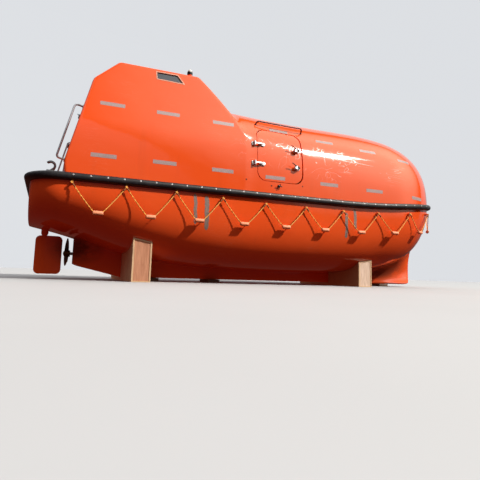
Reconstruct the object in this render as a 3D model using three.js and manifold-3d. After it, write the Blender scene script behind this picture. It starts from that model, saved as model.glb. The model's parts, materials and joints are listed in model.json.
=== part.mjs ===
// Totally enclosed motor lifeboat with an aft conning tower, standing on its timber cradle.
// Millimetres, +Z up, +X to the bow, +Y to port. Heights are above the floor, and x below is
// measured from the transom. The whole group is then moved so that the middle of the boat's
// length lies at the origin.
import * as THREE from "three";
import { mergeVertices } from "three/addons/utils/BufferGeometryUtils.js";
import Module from "manifold-3d";

const wasm = await Module();
wasm.setup();

// Main dimensions
const TOUCH = 0.3; // gap between neighbours that rest on each other
const HULL_LENGTH = 6480; // transom to the tip of the stem
const HALF_BEAM = 1190; // outside of the moulded hull, without the fender
const SHELL = 45; // thickness of hull and canopy walls
const SHEER = 1200; // height of the gunwale along the parallel body
const SHEER_RISE = 200; // how much higher the gunwale is at the tip
const SHEER_START = 4200; // where it starts to rise
const BOW_START = 5130; // where the plan starts to round in to the bow
const STERN_CORNER = { length: 340, inset: 340 };
const NOSE_START = 4300; // where the crown starts to fall to the bow
const NOSE_POWER = 2.5;
const KEEL_BOTTOM = 45;
const SKEG_AFT = 580; // aft edge of the skeg
const AFT_DECK = 40; // thickness of the deck behind the tower
const AFT_WALL_END = 900; // where the tower's aft wall joins its sides
const CANOPY_AFT = 2620; // where the tower's moulding ends and the canopy's starts
const NOSE_AFT = 5200; // where the canopy ends and its nose starts

// Canopy stations: x, crown above the gunwale before the nose falls, exponent of the section,
// where 2 is an ellipse and more is squarer
const CANOPY_TABLE = [
  [0, 1290, 4],
  [1200, 1290, 4],
  [2450, 1290, 4],
  [3000, 1295, 3.5],
  [3600, 1305, 3.15],
  [4400, 1315, 3],
  [5300, 1320, 2.7],
  [HULL_LENGTH, 1320, 2.3],
];
const KEEL_HALF_WIDTH = 55;

// Forefoot: from aft on, the keel fairs into the hull in a hollow that is full from x on, and its
// foot swells between two places along it
const FOREFOOT = { aft: 4915, full: 5800, hollow: 440, swellAft: 5350, swellFore: 6050, swell: 100 };
// height, stem's front edge, share of the foot's swell
const STEM_TABLE = [
  [45, 6262, 0.7],
  [52, 6325, 0.9],
  [64, 6358, 1],
  [84, 6378, 0.86],
  [110, 6386, 0.62],
  [145, 6392, 0.4],
  [190, 6397, 0.24],
  [240, 6401, 0.13],
  [300, 6404, 0.06],
  [370, 6407, 0.02],
  [450, 6410, 0],
  [560, 6412, 0],
  [612, 6392, 0],
  [670, 6320, 0],
  [760, 6150, 0],
];
const STEM_STEPS = 18; // stations along each level of the forefoot

// Conning tower: profile corners as x and height, and the half width of its roof
const TOWER = {
  deckX: 381,
  footX: 346,
  footZ: 1372,
  shoulderX: 622,
  shoulderZ: 2493,
  peakX: 933,
  roofZ: 2787,
  browX: 1987,
  frontX: 2252,
  frontZ: 2550,
  chinX: 2466,
  chinZ: 2280,
  endX: 2600,
  endZ: 1980,
  roofHalf: 985,
  camber: 40,
  tangentZ: 1950,
};

// Fender: a D-shaped rubber round the gunwale
const FENDER = { height: 100, depth: 68 };

// Side hatch, in the plane of the canopy's side
const HATCH = {
  x: 2807,
  width: 713,
  foot: 1410,
  head: 2170,
  corner: 130,
  gap: 8,
  foreGap: 18,
  hingeLow: 1640,
  hingeHigh: 1916,
  latchLow: 1632,
  latchHigh: 1886,
  latchAft: 95, // latch to the forward edge of the hole
};

// Aft door, in the plane of the tower's sloping aft wall
const AFT_DOOR = { width: 620, foot: 280, head: 1010, corner: 110, gap: 8, farGap: 13, latch: 90 };
const DOOR_HINGES = { low: 430, high: 880 }; // heights up the wall

// Hatch in the tower's roof, over the helmsman
const ROOF_HATCH = {
  x: 1180,
  length: 600,
  width: 620,
  corner: 90,
  coaming: 40,
  lid: 38,
  rim: 30, // the coaming round the hole
  lip: 4, // the lid past the coaming
  hinge: 190, // hinges to each side of the middle
};

// Hinges of hatches, door and lid: the pin lies behind the leaf's edge and out of its wall
const HINGE = { back: 48, out: 32, half: 17, cheek: 11, knuckle: 14, pin: 6, strap: 150 };

// Well in the nose with the forward release hook
const BOW_WELL = { x: 5420, length: 460, width: 300, floor: 2030, wall: 16 };

// Stern gear
const PROPELLER = { x: 500, z: 345, radius: 212, hub: 44, hubLength: 92, blades: 3, pitch: 300 };
const SHAFT = { radius: 20, into: 180 };
const RUDDER = { stockX: 205, foreX: 438, aftX: 96, low: 62, high: 575, thick: 42, stock: 22, head: 900 };
const RUNNING = 0.35; // gap round a turning shaft

// Boxes of the cabin: the sole, the seat lockers along the sides, and the engine under its casing
const SOLE = { z: 470, thick: 30, aft: 760, fore: 5500 };
const BENCH = { inner: 560, top: 860, aft: 1250, fore: 5250 };
const ENGINE = { aft: 1180, fore: 2020, half: 270, top: 1010 };
const HELM = { seatX: 1250, seatTop: 1560, deskX: 2060, deskTop: 1900, wheel: 190 };

// Release hooks: x of the frame's middle, height of its foot and of the hook's pivot
const HOOKS = [
  ["aft", 205, 1240, 1450],
  ["fore", 5650, 2030, 2230],
];
const HOOK = { cheek: 14, apart: 50, pin: 14 };

// Rails and light
const STERN_RAIL = { y: 960, low: 70, high: 780, out: 100, radius: 13 };
const HATCH_RAIL = { aft: 2820, fore: 3578, z: 2235, out: 58, radius: 11 };
const BEACON = { x: 1893, y: -850, radius: 40, base: 70, dome: 152 };

// Grab line: eyes below the fender, and a float in the middle of each loop
const LINE = {
  first: 455,
  spacing: 618,
  bights: 10,
  aftDrop: 72,
  foreDrop: 118,
  floatDrop: 408,
  rope: 7,
  float: 23,
  floatLength: 130,
  stand: 44,
};

// Cradle
const SADDLES = [
  // name, x of its middle, thickness, half width, height of its ends
  ["saddle_aft", 1356, 240, 965, 565],
  ["saddle_fore", 4790, 235, 900, 430],
];
const KEEL_BLOCKS = [
  // name, x of its middle, length
  ["keel_block_aft", 1660, 180],
  ["keel_block_mid", 2580, 180],
  ["keel_block_bow", 5700, 180],
];
const KEEL_BLOCK_WIDTH = 420;

// Hull stations: x, height of the moulded bottom, exponent of the section
const HULL_TABLE = [
  [0, 700, 2.6],
  [300, 640, 2.7],
  [600, 560, 2.8],
  [1200, 380, 3.0],
  [1900, 260, 3.2],
  [2800, 205, 3.3],
  [4200, 200, 3.2],
  [5000, 235, 2.8],
  [5500, 300, 2.4],
  [5900, 410, 2.1],
  [6200, 590, 2.0],
  [6400, 860, 1.9],
  [HULL_LENGTH, 1240, 1.9],
];

// Materials
const paint = (color, roughness, metalness = 0) =>
  new THREE.MeshStandardMaterial({ color, roughness, metalness });
const ORANGE = () => paint(0xf0592a, 0.25);
const STEEL = () => paint(0xc9ccd0, 0.2, 1);
const BLACK = () => paint(0x1b1a1e, 0.6);
const GLASS = () => paint(0x4b5560, 0.1);
const PLY = () => paint(0xd9b98c, 0.8);
const TIMBER = () => paint(0x7c5b40, 0.85);
const WHITE = () => paint(0xe8e6e0, 0.4);
const BRONZE = () => paint(0x4a3c2c, 0.4, 1);
const ROPE = () => paint(0xe8b23c, 0.9);

// Helpers: closed meshes to solids and back
function solid(geometry) {
  const bare = geometry.index ? geometry.toNonIndexed() : geometry.clone();
  const points = new THREE.BufferGeometry();
  points.setAttribute("position", bare.getAttribute("position"));
  const merged = mergeVertices(points, 1e-3);
  const made = new wasm.Manifold(
    new wasm.Mesh({
      numProp: 3,
      vertProperties: new Float32Array(merged.attributes.position.array),
      triVerts: new Uint32Array(merged.index.array),
    }),
  );
  if (made.volume() < 0) throw new Error("a piece is inside out");
  return made;
}

function geometryOf(body) {
  const mesh = body.getMesh();
  const stride = mesh.numProp;
  const xyz = new Float32Array(mesh.numVert * 3);
  for (let i = 0; i < mesh.numVert; i++) {
    xyz.set(mesh.vertProperties.subarray(i * stride, i * stride + 3), i * 3);
  }
  const geometry = new THREE.BufferGeometry();
  geometry.setAttribute("position", new THREE.BufferAttribute(xyz, 3));
  geometry.setIndex(new THREE.BufferAttribute(new Uint32Array(mesh.triVerts), 1));
  geometry.computeVertexNormals();
  return geometry;
}

// A solid between two corners
function box(x0, x1, y0, y1, z0, z1) {
  const g = new THREE.BoxGeometry(x1 - x0, y1 - y0, z1 - z0);
  g.translate((x0 + x1) / 2, (y0 + y1) / 2, (z0 + z1) / 2);
  return solid(g);
}

// A round bar from point a to point b
function bar(a, b, radius, sides = 10, radiusEnd = radius) {
  const from = new THREE.Vector3(...a);
  const to = new THREE.Vector3(...b);
  const g = new THREE.CylinderGeometry(radiusEnd, radius, from.distanceTo(to), sides);
  const turn = new THREE.Quaternion();
  turn.setFromUnitVectors(new THREE.Vector3(0, 1, 0), to.clone().sub(from).normalize());
  g.applyQuaternion(turn);
  const middle = from.add(to).multiplyScalar(0.5);
  g.translate(middle.x, middle.y, middle.z);
  return solid(g);
}

function ball(centre, radius) {
  const g = new THREE.IcosahedronGeometry(radius, 1);
  g.translate(...centre);
  return solid(g);
}

const join = (parts) => parts.reduce((sum, next) => sum.add(next));

// A bent round bar through a list of points, with a ball at each bend
function bentBar(points, radius, sides = 8) {
  const legs = points.slice(1).map((p, i) => bar(points[i], p, radius, sides));
  const bends = points.slice(1, -1).map((p) => ball(p, radius * 1.02));
  return join([...legs, ...bends]);
}

// A flat outline of [u, w] corners, pushed from v0 to v1, in a frame of three directions
function prism(outline, v0, v1, frame) {
  const shape = Array.isArray(outline)
    ? new THREE.Shape(outline.map(([u, w]) => new THREE.Vector2(u, w)))
    : outline;
  const g = new THREE.ExtrudeGeometry(shape, { depth: v1 - v0, bevelEnabled: false, curveSegments: 5 });
  g.translate(0, 0, v0);
  g.applyMatrix4(frame);
  return solid(g);
}

// A frame with its origin, and the directions of u, w and v (v = u x w)
function frameOf(origin, u, w) {
  const eu = new THREE.Vector3(...u).normalize();
  const ew = new THREE.Vector3(...w).normalize();
  const ev = new THREE.Vector3().crossVectors(eu, ew);
  return new THREE.Matrix4().makeBasis(eu, ew, ev).setPosition(...origin);
}

// Frames whose v looks to port, to the bow and up
const SIDE = frameOf([0, 0, 0], [1, 0, 0], [0, 0, 1]); // u = x, w = z, v = -y
const PLAN = frameOf([0, 0, 0], [1, 0, 0], [0, 1, 0]); // u = x, w = y, v = z
const SECTION = frameOf([0, 0, 0], [0, 1, 0], [0, 0, 1]); // u = y, w = z, v = x

function roundedRect(u0, u1, w0, w1, r) {
  const s = new THREE.Shape();
  s.moveTo(u0 + r, w0);
  s.lineTo(u1 - r, w0);
  s.absarc(u1 - r, w0 + r, r, -Math.PI / 2, 0, false);
  s.lineTo(u1, w1 - r);
  s.absarc(u1 - r, w1 - r, r, 0, Math.PI / 2, false);
  s.lineTo(u0 + r, w1);
  s.absarc(u0 + r, w1 - r, r, Math.PI / 2, Math.PI, false);
  s.lineTo(u0, w0 + r);
  s.absarc(u0 + r, w0 + r, r, Math.PI, Math.PI * 1.5, false);
  return s;
}

// The same solid on the other side of the centre plane
const mirrored = (body) => body.mirror([0, 1, 0]);

// Six times the volume inside a list of triangles: negative where they face in
function signedVolume(xyz, index) {
  let sum = 0;
  for (let i = 0; i < index.length; i += 3) {
    const [a, b, c] = [0, 1, 2].map((k) => new THREE.Vector3().fromArray(xyz, index[i + k] * 3));
    sum += a.dot(b.cross(c));
  }
  return sum;
}

// Rings of points, one per station, joined into a closed skin with flat ends
function loft(rings) {
  const n = rings[0].length;
  const xyz = rings.flat(2);
  const index = [];
  rings.slice(1).forEach((_, i) => {
    for (let k = 0; k < n; k++) {
      const a = i * n + k;
      const b = i * n + ((k + 1) % n);
      const first = k < (n - 1) / 2; // the two halves of a ring are each other's mirror image
      index.push(...(first ? [a, b, a + n, b, b + n, a + n] : [a, b, b + n, a, b + n, a + n]));
    }
  });
  [0, rings.length - 1].forEach((i) => {
    const centre = [0, 1, 2].map((c) => rings[i].reduce((sum, p) => sum + p[c], 0) / n);
    const middle = xyz.length / 3;
    xyz.push(...centre);
    for (let k = 0; k < n; k++) {
      const a = i * n + k;
      const b = i * n + ((k + 1) % n);
      index.push(...(i === 0 ? [b, a, middle] : [a, b, middle]));
    }
  });
  const g = new THREE.BufferGeometry();
  g.setAttribute("position", new THREE.Float32BufferAttribute(xyz, 3));
  g.setIndex(signedVolume(xyz, index) < 0 ? index.reverse() : index);
  return solid(g);
}

// The lines of the boat
function sheer(x) {
  const t = Math.max(0, (x - SHEER_START) / (HULL_LENGTH - SHEER_START));
  return SHEER + SHEER_RISE * t * t;
}

function halfBeam(x) {
  const aft = Math.max(0, (STERN_CORNER.length - x) / STERN_CORNER.length);
  const fore = Math.max(0, (x - BOW_START) / (HULL_LENGTH - BOW_START));
  const corner = STERN_CORNER.inset * (1 - Math.sqrt(Math.max(0, 1 - aft * aft)));
  return (HALF_BEAM - corner) * Math.sqrt(Math.max(0, 1 - fore * fore));
}

function crown(x) {
  const t = Math.max(0, (x - NOSE_START) / (HULL_LENGTH - NOSE_START));
  return along(CANOPY_TABLE, 1, x) * Math.pow(Math.max(0, 1 - Math.pow(t, NOSE_POWER)), 1 / NOSE_POWER);
}

// A column of a table at x, on a smooth curve through its rows
function along(table, column, x) {
  const i = Math.max(1, table.findIndex((row) => row[0] >= x));
  const slope = (k) => {
    const a = table[Math.max(0, k - 1)];
    const b = table[Math.min(table.length - 1, k + 1)];
    return (b[column] - a[column]) / (b[0] - a[0]);
  };
  const [p, q] = [table[i - 1], table[i]];
  const h = q[0] - p[0];
  const t = (x - p[0]) / h;
  const [t2, t3] = [t * t, t * t * t];
  return (
    p[column] * (2 * t3 - 3 * t2 + 1) +
    q[column] * (3 * t2 - 2 * t3) +
    slope(i - 1) * h * (t3 - 2 * t2 + t) +
    slope(i) * h * (t3 - t2)
  );
}

const power = (value, n) => Math.sign(value) * Math.pow(Math.abs(value), 2 / n);

// Stations of hull, canopy, deck and fender: close together where the plan turns fast
const STERN_STATIONS = [0, 26, 70, 130, 220, STERN_CORNER.length];
const BODY_STATIONS = 7;
const BOW_STATIONS = 10;
const LAST_STATION = HULL_LENGTH - 14;
const STATIONS = [...STERN_STATIONS];
for (let i = 1; i <= BODY_STATIONS; i++) {
  const aft = STERN_STATIONS.at(-1);
  STATIONS.push(aft + ((BOW_START - aft) * i) / BODY_STATIONS);
}
for (let i = 1; i <= BOW_STATIONS; i++) {
  const last = Math.asin((LAST_STATION - BOW_START) / (HULL_LENGTH - BOW_START));
  STATIONS.push(BOW_START + (HULL_LENGTH - BOW_START) * Math.sin((last * i) / BOW_STATIONS));
}

const RING = 20; // steps round a half section
const arc = (from, to) => Array.from({ length: RING + 1 }, (_, k) => from + ((to - from) * k) / RING);

// A half section at each station from one x on, shrunk by inset, as rings for a loft.
// shape gives a section's half width, height and exponent, and turn is 1 above and -1 below.
function halfSections(inset, from, shape, turn, lip) {
  const shrink = (LAST_STATION - inset - BOW_START) / (LAST_STATION - BOW_START);
  return [from, ...STATIONS.filter((x) => x > from)].map((x) => {
    const at = x > BOW_START ? BOW_START + (x - BOW_START) * shrink : x;
    const { b, h, n } = shape(x);
    const z = sheer(x);
    const ring = arc(0, Math.PI).map((a) => [
      at,
      (b - inset * Math.sqrt(b / HALF_BEAM)) * power(Math.cos(a), n),
      z + turn * (h - inset * Math.min(1, h / (8 * SHELL))) * power(Math.sin(a), n),
    ]);
    ring[0][2] -= turn * lip;
    ring[RING][2] -= turn * lip;
    return ring;
  });
}

// The canopy filled solid, shrunk by inset, its flat bottom lowered by lip
const canopyShape = (x) => ({ b: halfBeam(x), h: crown(x), n: along(CANOPY_TABLE, 2, x) });
const canopySolid = (inset, from, lip = 0) => loft(halfSections(inset, from, canopyShape, 1, lip));

// The hull filled solid, shrunk by inset, its flat top raised by lip
const hullShape = (x) => ({
  b: halfBeam(x),
  h: sheer(x) - along(HULL_TABLE, 1, x),
  n: along(HULL_TABLE, 2, x),
});
const hullSolid = (inset, from, lip = 0) => loft(halfSections(inset, from, hullShape, -1, lip));

// Half width of the canopy's outside at a height, on its parallel body
function canopySide(x, z) {
  const { b, h, n } = canopyShape(x);
  return b * Math.pow(1 - Math.pow(Math.min(1, (z - sheer(x)) / h), n), 1 / n);
}

// The tower filled solid: its section runs up the canopy's side and leaves it on the tangent
function towerSolid(inset) {
  const t = TOWER;
  const { h, n } = canopyShape(STERN_CORNER.length);
  const ring = arc(0, Math.PI)
    .map((a) => [
      (HALF_BEAM - inset) * power(Math.cos(a), n),
      SHEER + (h - inset) * power(Math.sin(a), n),
    ])
    .filter(([y, z]) => y > 0 && z < t.tangentZ);
  const roof = t.roofZ - inset;
  const starboard = [...ring, [t.roofHalf - inset, roof], [t.roofHalf * 0.5, roof + t.camber * 0.8]];
  const port = starboard.map(([y, z]) => [-y, z]).reverse();
  const section = [...starboard, [0, roof + t.camber], ...port];
  const body = prism(section, t.footX, t.endX + 200, SECTION);
  const k = inset;
  const top = t.roofZ + t.camber + 20; // the profile is cut a little above the roof
  const rise = (x, slope) => x + (top - t.roofZ) * slope;
  const aftSlope = (t.peakX - t.shoulderX) / (t.roofZ - t.shoulderZ);
  const foreSlope = (t.browX - t.frontX) / (t.roofZ - t.frontZ);
  const profile = [
    [t.deckX + k, SHEER - 60],
    [t.deckX + k, SHEER],
    [t.footX + k, t.footZ],
    [t.shoulderX + k, t.shoulderZ],
    [rise(t.peakX + k, aftSlope), top],
    [rise(t.browX - k, foreSlope), top],
    [t.frontX - k, t.frontZ],
    [t.chinX - k, t.chinZ],
    [t.endX - k, t.endZ],
    [t.endX - k, SHEER - 60],
  ];
  return body.intersect(prism(profile, -HALF_BEAM * 2, HALF_BEAM * 2, SIDE));
}

// Frames of the walls that carry openings. Starboard is worked out, and port is its mirror.
const axisX = HATCH.x - HINGE.back;
const hatchLean = Math.atan2(
  canopySide(axisX, HATCH.hingeLow) - canopySide(axisX, HATCH.hingeHigh),
  HATCH.hingeHigh - HATCH.hingeLow,
);
const hatchFrame = frameOf(
  [0, -canopySide(axisX, HATCH.hingeLow), HATCH.hingeLow],
  [1, 0, 0],
  [0, Math.sin(hatchLean), Math.cos(hatchLean)],
);
const hatchLow = (HATCH.foot - HATCH.hingeLow) / Math.cos(hatchLean);
const hatchHigh = (HATCH.head - HATCH.hingeLow) / Math.cos(hatchLean);

const towerLean = Math.atan2(
  canopySide(STERN_CORNER.length, TOWER.tangentZ) - TOWER.roofHalf,
  TOWER.roofZ - TOWER.tangentZ,
);
const towerSide = frameOf(
  [0, -TOWER.roofHalf, TOWER.roofZ],
  [1, 0, 0],
  [0, Math.sin(towerLean), Math.cos(towerLean)],
);
const aftWall = frameOf(
  [TOWER.footX, 0, TOWER.footZ],
  [0, -1, 0],
  [TOWER.shoulderX - TOWER.footX, 0, TOWER.shoulderZ - TOWER.footZ],
);
const frontWall = frameOf(
  [TOWER.browX, 0, TOWER.roofZ],
  [0, 1, 0],
  [TOWER.browX - TOWER.frontX, 0, TOWER.roofZ - TOWER.frontZ],
);
const aftBevel = frameOf(
  [TOWER.shoulderX, 0, TOWER.shoulderZ],
  [0, -1, 0],
  [TOWER.peakX - TOWER.shoulderX, 0, TOWER.roofZ - TOWER.shoulderZ],
);

// Window outlines, in the frame of the wall that holds them
const WINDOWS = [
  // name, frame, outline, mirrored copy
  [
    "side_window",
    towerSide,
    [
      [1412, -148],
      [1770, -138],
      [1702, -42],
      [1404, -46],
    ],
    true,
  ],
  [
    "windscreen",
    frontWall,
    [
      [-640, -300],
      [640, -300],
      [600, -70],
      [-600, -70],
    ],
    false,
  ],
  [
    "aft_window",
    aftBevel,
    [
      [-500, 90],
      [500, 90],
      [470, 320],
      [-470, 320],
    ],
    false,
  ],
];
const PANE = { thick: 10, recess: 12 };

// The outline drawn in by a margin towards its middle
function drawnIn(outline, margin) {
  const n = outline.length;
  const cu = outline.reduce((s, p) => s + p[0], 0) / n;
  const cw = outline.reduce((s, p) => s + p[1], 0) / n;
  return outline.map(([u, w]) => [u - Math.sign(u - cu) * margin, w - Math.sign(w - cw) * margin]);
}

const assembly = new THREE.Group();
function place(name, body, material) {
  const mesh = new THREE.Mesh(geometryOf(body), material);
  mesh.name = name;
  assembly.add(mesh);
}

// A piece on both sides: starboard as made, port as its mirror image
function placeBoth(name, body, material) {
  place(name + "_starboard", body, material());
  place(name + "_port", mirrored(body), material());
}

// Hull
function makeHull() {
  let hull = hullSolid(0, 0).subtract(hullSolid(SHELL, SHELL, 60));
  const stern = box(RUDDER.stockX - 46, RUDDER.stockX + 46, -46, 46, 620, 760);
  const boss = stern.subtract(hullSolid(SHELL - 5, SHELL, 60));
  hull = hull.add(boss);
  for (const side of [-1, 1]) {
    for (let i = 0; i <= LINE.bights; i++) {
      hull = hull.add(lugAt(eyePoint(i), side));
    }
  }
  const stock = bar(
    [RUDDER.stockX, 0, 500],
    [RUDDER.stockX, 0, 900],
    RUDDER.stock + RUNNING,
    24,
  );
  return hull.subtract(stock);
}

// What lies on the side of a plane that its normal looks to, from an offset along it
const endAt = (body, normal, offset) => body.trimByPlane(normal, offset);

// A point on the gunwale at a distance along it from the transom corner, and the way out
function gunwalePoint(distance) {
  let walked = 0;
  let x = LINE.first;
  const step = 4;
  while (walked < distance && x < HULL_LENGTH - step) {
    walked += Math.hypot(step, halfBeam(x + step) - halfBeam(x));
    x += step;
  }
  const slope = (halfBeam(x + 2) - halfBeam(x - 2)) / 4;
  return { x, y: halfBeam(x), turn: Math.atan(-slope) };
}

function eyePoint(i) {
  const p = gunwalePoint(i * LINE.spacing);
  const share = Math.min(1, Math.max(0, (p.x - 1600) / 1400));
  const z = sheer(p.x) - LINE.aftDrop - share * (LINE.foreDrop - LINE.aftDrop);
  return {
    x: p.x + LINE.stand * Math.sin(p.turn),
    y: p.y + LINE.stand * Math.cos(p.turn),
    z,
    turn: p.turn,
  };
}

function lugAt(eye, side) {
  const out = [Math.sin(eye.turn), side * Math.cos(eye.turn), 0];
  const a = out.map((c, k) => [eye.x, side * eye.y, eye.z][k] - c * (LINE.stand + 30));
  const b = out.map((c, k) => [eye.x, side * eye.y, eye.z][k] - c * 14);
  return bar(a, b, 16, 6);
}

// How far a point lies outside the hull's section at x, near enough for a fillet
function outsideHull(x, y, z) {
  const { b, h, n } = hullShape(x);
  const down = Math.max(0, sheer(x) - z);
  const share = Math.pow(Math.pow(y / b, n) + Math.pow(down / h, n), 1 / n);
  return Math.hypot(y, down) * (1 - 1 / share);
}

// Half width of the forefoot at a place: the keel's side, faired into the hull above it
function forefootHalf(x, z, swell) {
  const f = FOREFOOT;
  const grown = THREE.MathUtils.smoothstep(x, f.swellAft, f.swellFore);
  const side = KEEL_HALF_WIDTH + f.swell * swell * grown;
  const hollow = f.hollow * THREE.MathUtils.smoothstep(x, f.aft, f.full);
  if (hollow === 0) return side;
  let [low, high] = [side, side + hollow];
  for (let i = 0; i < 30; i++) {
    const y = (low + high) / 2;
    const [a, b] = [outsideHull(x, y, z), y - side];
    const near = Math.max(0, hollow - Math.abs(a - b)) / hollow;
    const inside = Math.min(a, b) - (near * near * hollow) / 4 < 0;
    [low, high] = inside ? [y, high] : [low, y];
  }
  return low;
}

// The forefoot as level outlines, each with a round front
function makeForefoot() {
  const rings = STEM_TABLE.map(([z, front, swell]) => {
    const round = KEEL_HALF_WIDTH * 1.1 + FOREFOOT.swell * swell;
    const half = [];
    for (let k = 0; k < STEM_STEPS; k++) {
      const t = Math.sin((k / STEM_STEPS) * (Math.PI / 2));
      const x = FOREFOOT.aft + (front - round - FOREFOOT.aft) * t;
      half.push([x, forefootHalf(x, z, swell), z]);
    }
    const at = front - round;
    const width = forefootHalf(at, z, swell);
    for (let k = 0; k < 7; k++) {
      const a = (k / 7) * (Math.PI / 2);
      half.push([at + round * Math.sin(a), width * Math.cos(a), z]);
    }
    const port = half.map(([x, y]) => [x, y, z]);
    return [...half.map(([x, y]) => [x, -y, z]), [front, 0, z], ...port.reverse()];
  });
  return loft(rings);
}

// Keel with its deep skeg aft, and the forefoot
function makeKeel(hull) {
  const profile = [
    [SKEG_AFT, 620],
    [SKEG_AFT, 205],
    [640, 182],
    [1230, KEEL_BOTTOM],
    [FOREFOOT.aft + 1, KEEL_BOTTOM],
    [FOREFOOT.aft + 1, 300],
    [2600, 260],
  ];
  const width = KEEL_HALF_WIDTH;
  let keel = prism(profile, -width, width, SIDE).add(makeForefoot());
  keel = keel.subtract(hull);
  const bore = bar(
    [SKEG_AFT - 20, 0, PROPELLER.z],
    [SKEG_AFT + SHAFT.into + 5, 0, PROPELLER.z],
    SHAFT.radius + RUNNING,
    24,
  );
  return keel.subtract(bore);
}

// The shell over the whole cabin, tower and canopy, on the hull's rim
function makeCover() {
  const from = 1200;
  const outer = canopySolid(0, from).add(towerSolid(0));
  const inner = canopySolid(SHELL, from - 40, 80).add(towerSolid(SHELL));
  return outer.subtract(inner).subtract(hullSolid(-1, -1).translate([0, 0, TOUCH]));
}

// The small deck behind the tower
function makeAftDeck() {
  const port = [...STERN_STATIONS, STATIONS[STERN_STATIONS.length]].map((x) => [x, halfBeam(x)]);
  const outline = [...port.map(([x, y]) => [x, -y]), ...port.reverse()];
  const plate = prism(outline, SHEER + TOUCH, SHEER + AFT_DECK, PLAN);
  return endAt(plate, [-1, 0, 0], -TOWER.deckX).subtract(towerSolid(-TOUCH));
}

function hatchOutline(gap, foreGap) {
  return roundedRect(
    HATCH.x + gap,
    HATCH.x + HATCH.width - foreGap,
    hatchLow + gap,
    hatchHigh - gap,
    HATCH.corner,
  );
}

// A rounded plate round the roof hatch, its edge a margin outside the clear opening
function roofPlate(margin, z0, z1) {
  const r = ROOF_HATCH;
  const half = r.width / 2 + margin;
  const shape = roundedRect(r.x - margin, r.x + r.length + margin, -half, half, r.corner + margin);
  return prism(shape, z0, z1, PLAN);
}

// Sweeps the D of the fender along the gunwale, through places with their way out
function fenderAlong(places) {
  const half = FENDER.height / 2;
  const profile = [
    [TOUCH, -half],
    [FENDER.depth * 0.55, -half],
    [FENDER.depth * 0.86, -half * 0.72],
    [FENDER.depth, -half * 0.3],
    [FENDER.depth, half * 0.3],
    [FENDER.depth * 0.86, half * 0.72],
    [FENDER.depth * 0.55, half],
    [TOUCH, half],
  ];
  return loft(
    places.map(({ x, y, out }) =>
      profile.map(([o, h]) => [x + out[0] * o, y + out[1] * o, sheer(Math.max(0, x)) + h]),
    ),
  );
}

// The gunwale's corners to starboard with the way out at each, as the mean of its two sides
function gunwalePlaces() {
  const corners = [[0, 0], ...STATIONS.map((x) => [x, -halfBeam(x)]), [LAST_STATION, 0]];
  return corners.map(([x, y], i) => {
    const [ax, ay] = corners[Math.max(0, i - 1)];
    const [bx, by] = corners[Math.min(corners.length - 1, i + 1)];
    const l = Math.hypot(bx - ax, by - ay);
    const middle = i === 0 ? [-1, 0] : i === corners.length - 1 ? [1, 0] : null;
    return { x, y, out: middle ?? [-(ay - by) / l, -(bx - ax) / l] };
  });
}

// A box in a frame's own directions
function blockIn(frame, u0, u1, w0, w1, v0, v1) {
  return prism([[u0, w0], [u1, w0], [u1, w1], [u0, w1]], v0, v1, frame);
}

// A round bar between two [u, w, v] points of a frame
function barIn(frame, a, b, radius, sides = 12) {
  const point = (p) => new THREE.Vector3(p[0], p[1], p[2]).applyMatrix4(frame).toArray();
  return bar(point(a), point(b), radius, sides);
}

// Walls that carry a leaf on hinges: the leaf's edge, how deep the hinge's foot goes into the
// wall, and the heights between which a fitting's plate lies
const roofTop = TOWER.roofZ + TOWER.camber + ROOF_HATCH.coaming + TOUCH + ROOF_HATCH.lid;
const lidFrame = frameOf(
  [ROOF_HATCH.x + ROOF_HATCH.length + ROOF_HATCH.rim + ROOF_HATCH.lip, 0, roofTop],
  [-1, 0, 0],
  [0, -1, 0],
);
const LEAVES = {
  hatch: { frame: hatchFrame, edge: HATCH.x, root: -30, seat: -70, plate: 0 },
  door: { frame: aftWall, edge: -AFT_DOOR.width / 2, root: -20, seat: TOUCH, plate: 9 },
  lid: { frame: lidFrame, edge: 0, root: -110, seat: TOUCH, plate: 9 },
};
const upHatch = (z) => (z - HATCH.hingeLow) / Math.cos(hatchLean);

// The fixed half of a hinge: a pad on the wall with two cheeks and the pin
function hingeFoot({ frame, edge, root }, w) {
  const h = HINGE;
  const u = edge - h.back;
  const outer = h.half + 1 + h.cheek;
  const pad = blockIn(frame, u - 40, u + 12, w - outer, w + outer, root, 9);
  const cheeks = [-1, 1].map((s) => {
    const a = s * (h.half + 1);
    const b = s * outer;
    const [w0, w1] = [w + Math.min(a, b), w + Math.max(a, b)];
    return blockIn(frame, u - 26, u + 10, w0, w1, 0, h.out + 13);
  });
  const pin = barIn(frame, [u, w - outer, h.out], [u, w + outer, h.out], h.pin);
  return join([pad, ...cheeks, pin]);
}

// The moving half: a knuckle round the pin and a strap that lies on the leaf
function hingeStrap({ frame, edge, seat }, w) {
  const h = HINGE;
  const u = edge - h.back;
  const knuckle = barIn(frame, [u, w - h.half, h.out], [u, w + h.half, h.out], h.knuckle, 16);
  const arm = blockIn(frame, u, edge + 60, w - h.half, w + h.half, h.out - 2, h.out + 12);
  const foot = blockIn(frame, edge + 40, edge + h.strap, w - 20, w + 20, seat, h.out + 2);
  const bore = barIn(frame, [u, w - 40, h.out], [u, w + 40, h.out], h.pin + RUNNING + 0.2);
  return join([knuckle, arm, foot]).subtract(bore);
}

// A lever latch on a leaf
function latch({ frame, seat, plate }, u, w) {
  const base = blockIn(frame, u - 40, u + 34, w - 24, w + 24, seat, plate);
  const boss = barIn(frame, [u, w, seat], [u, w, 30], 19);
  const outline = [
    [u - 96, w - 9],
    [u + 14, w - 18],
    [u + 52, w],
    [u + 14, w + 18],
    [u - 96, w + 9],
  ];
  return join([base, boss, prism(outline, 20, 34, frame)]);
}

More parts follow.
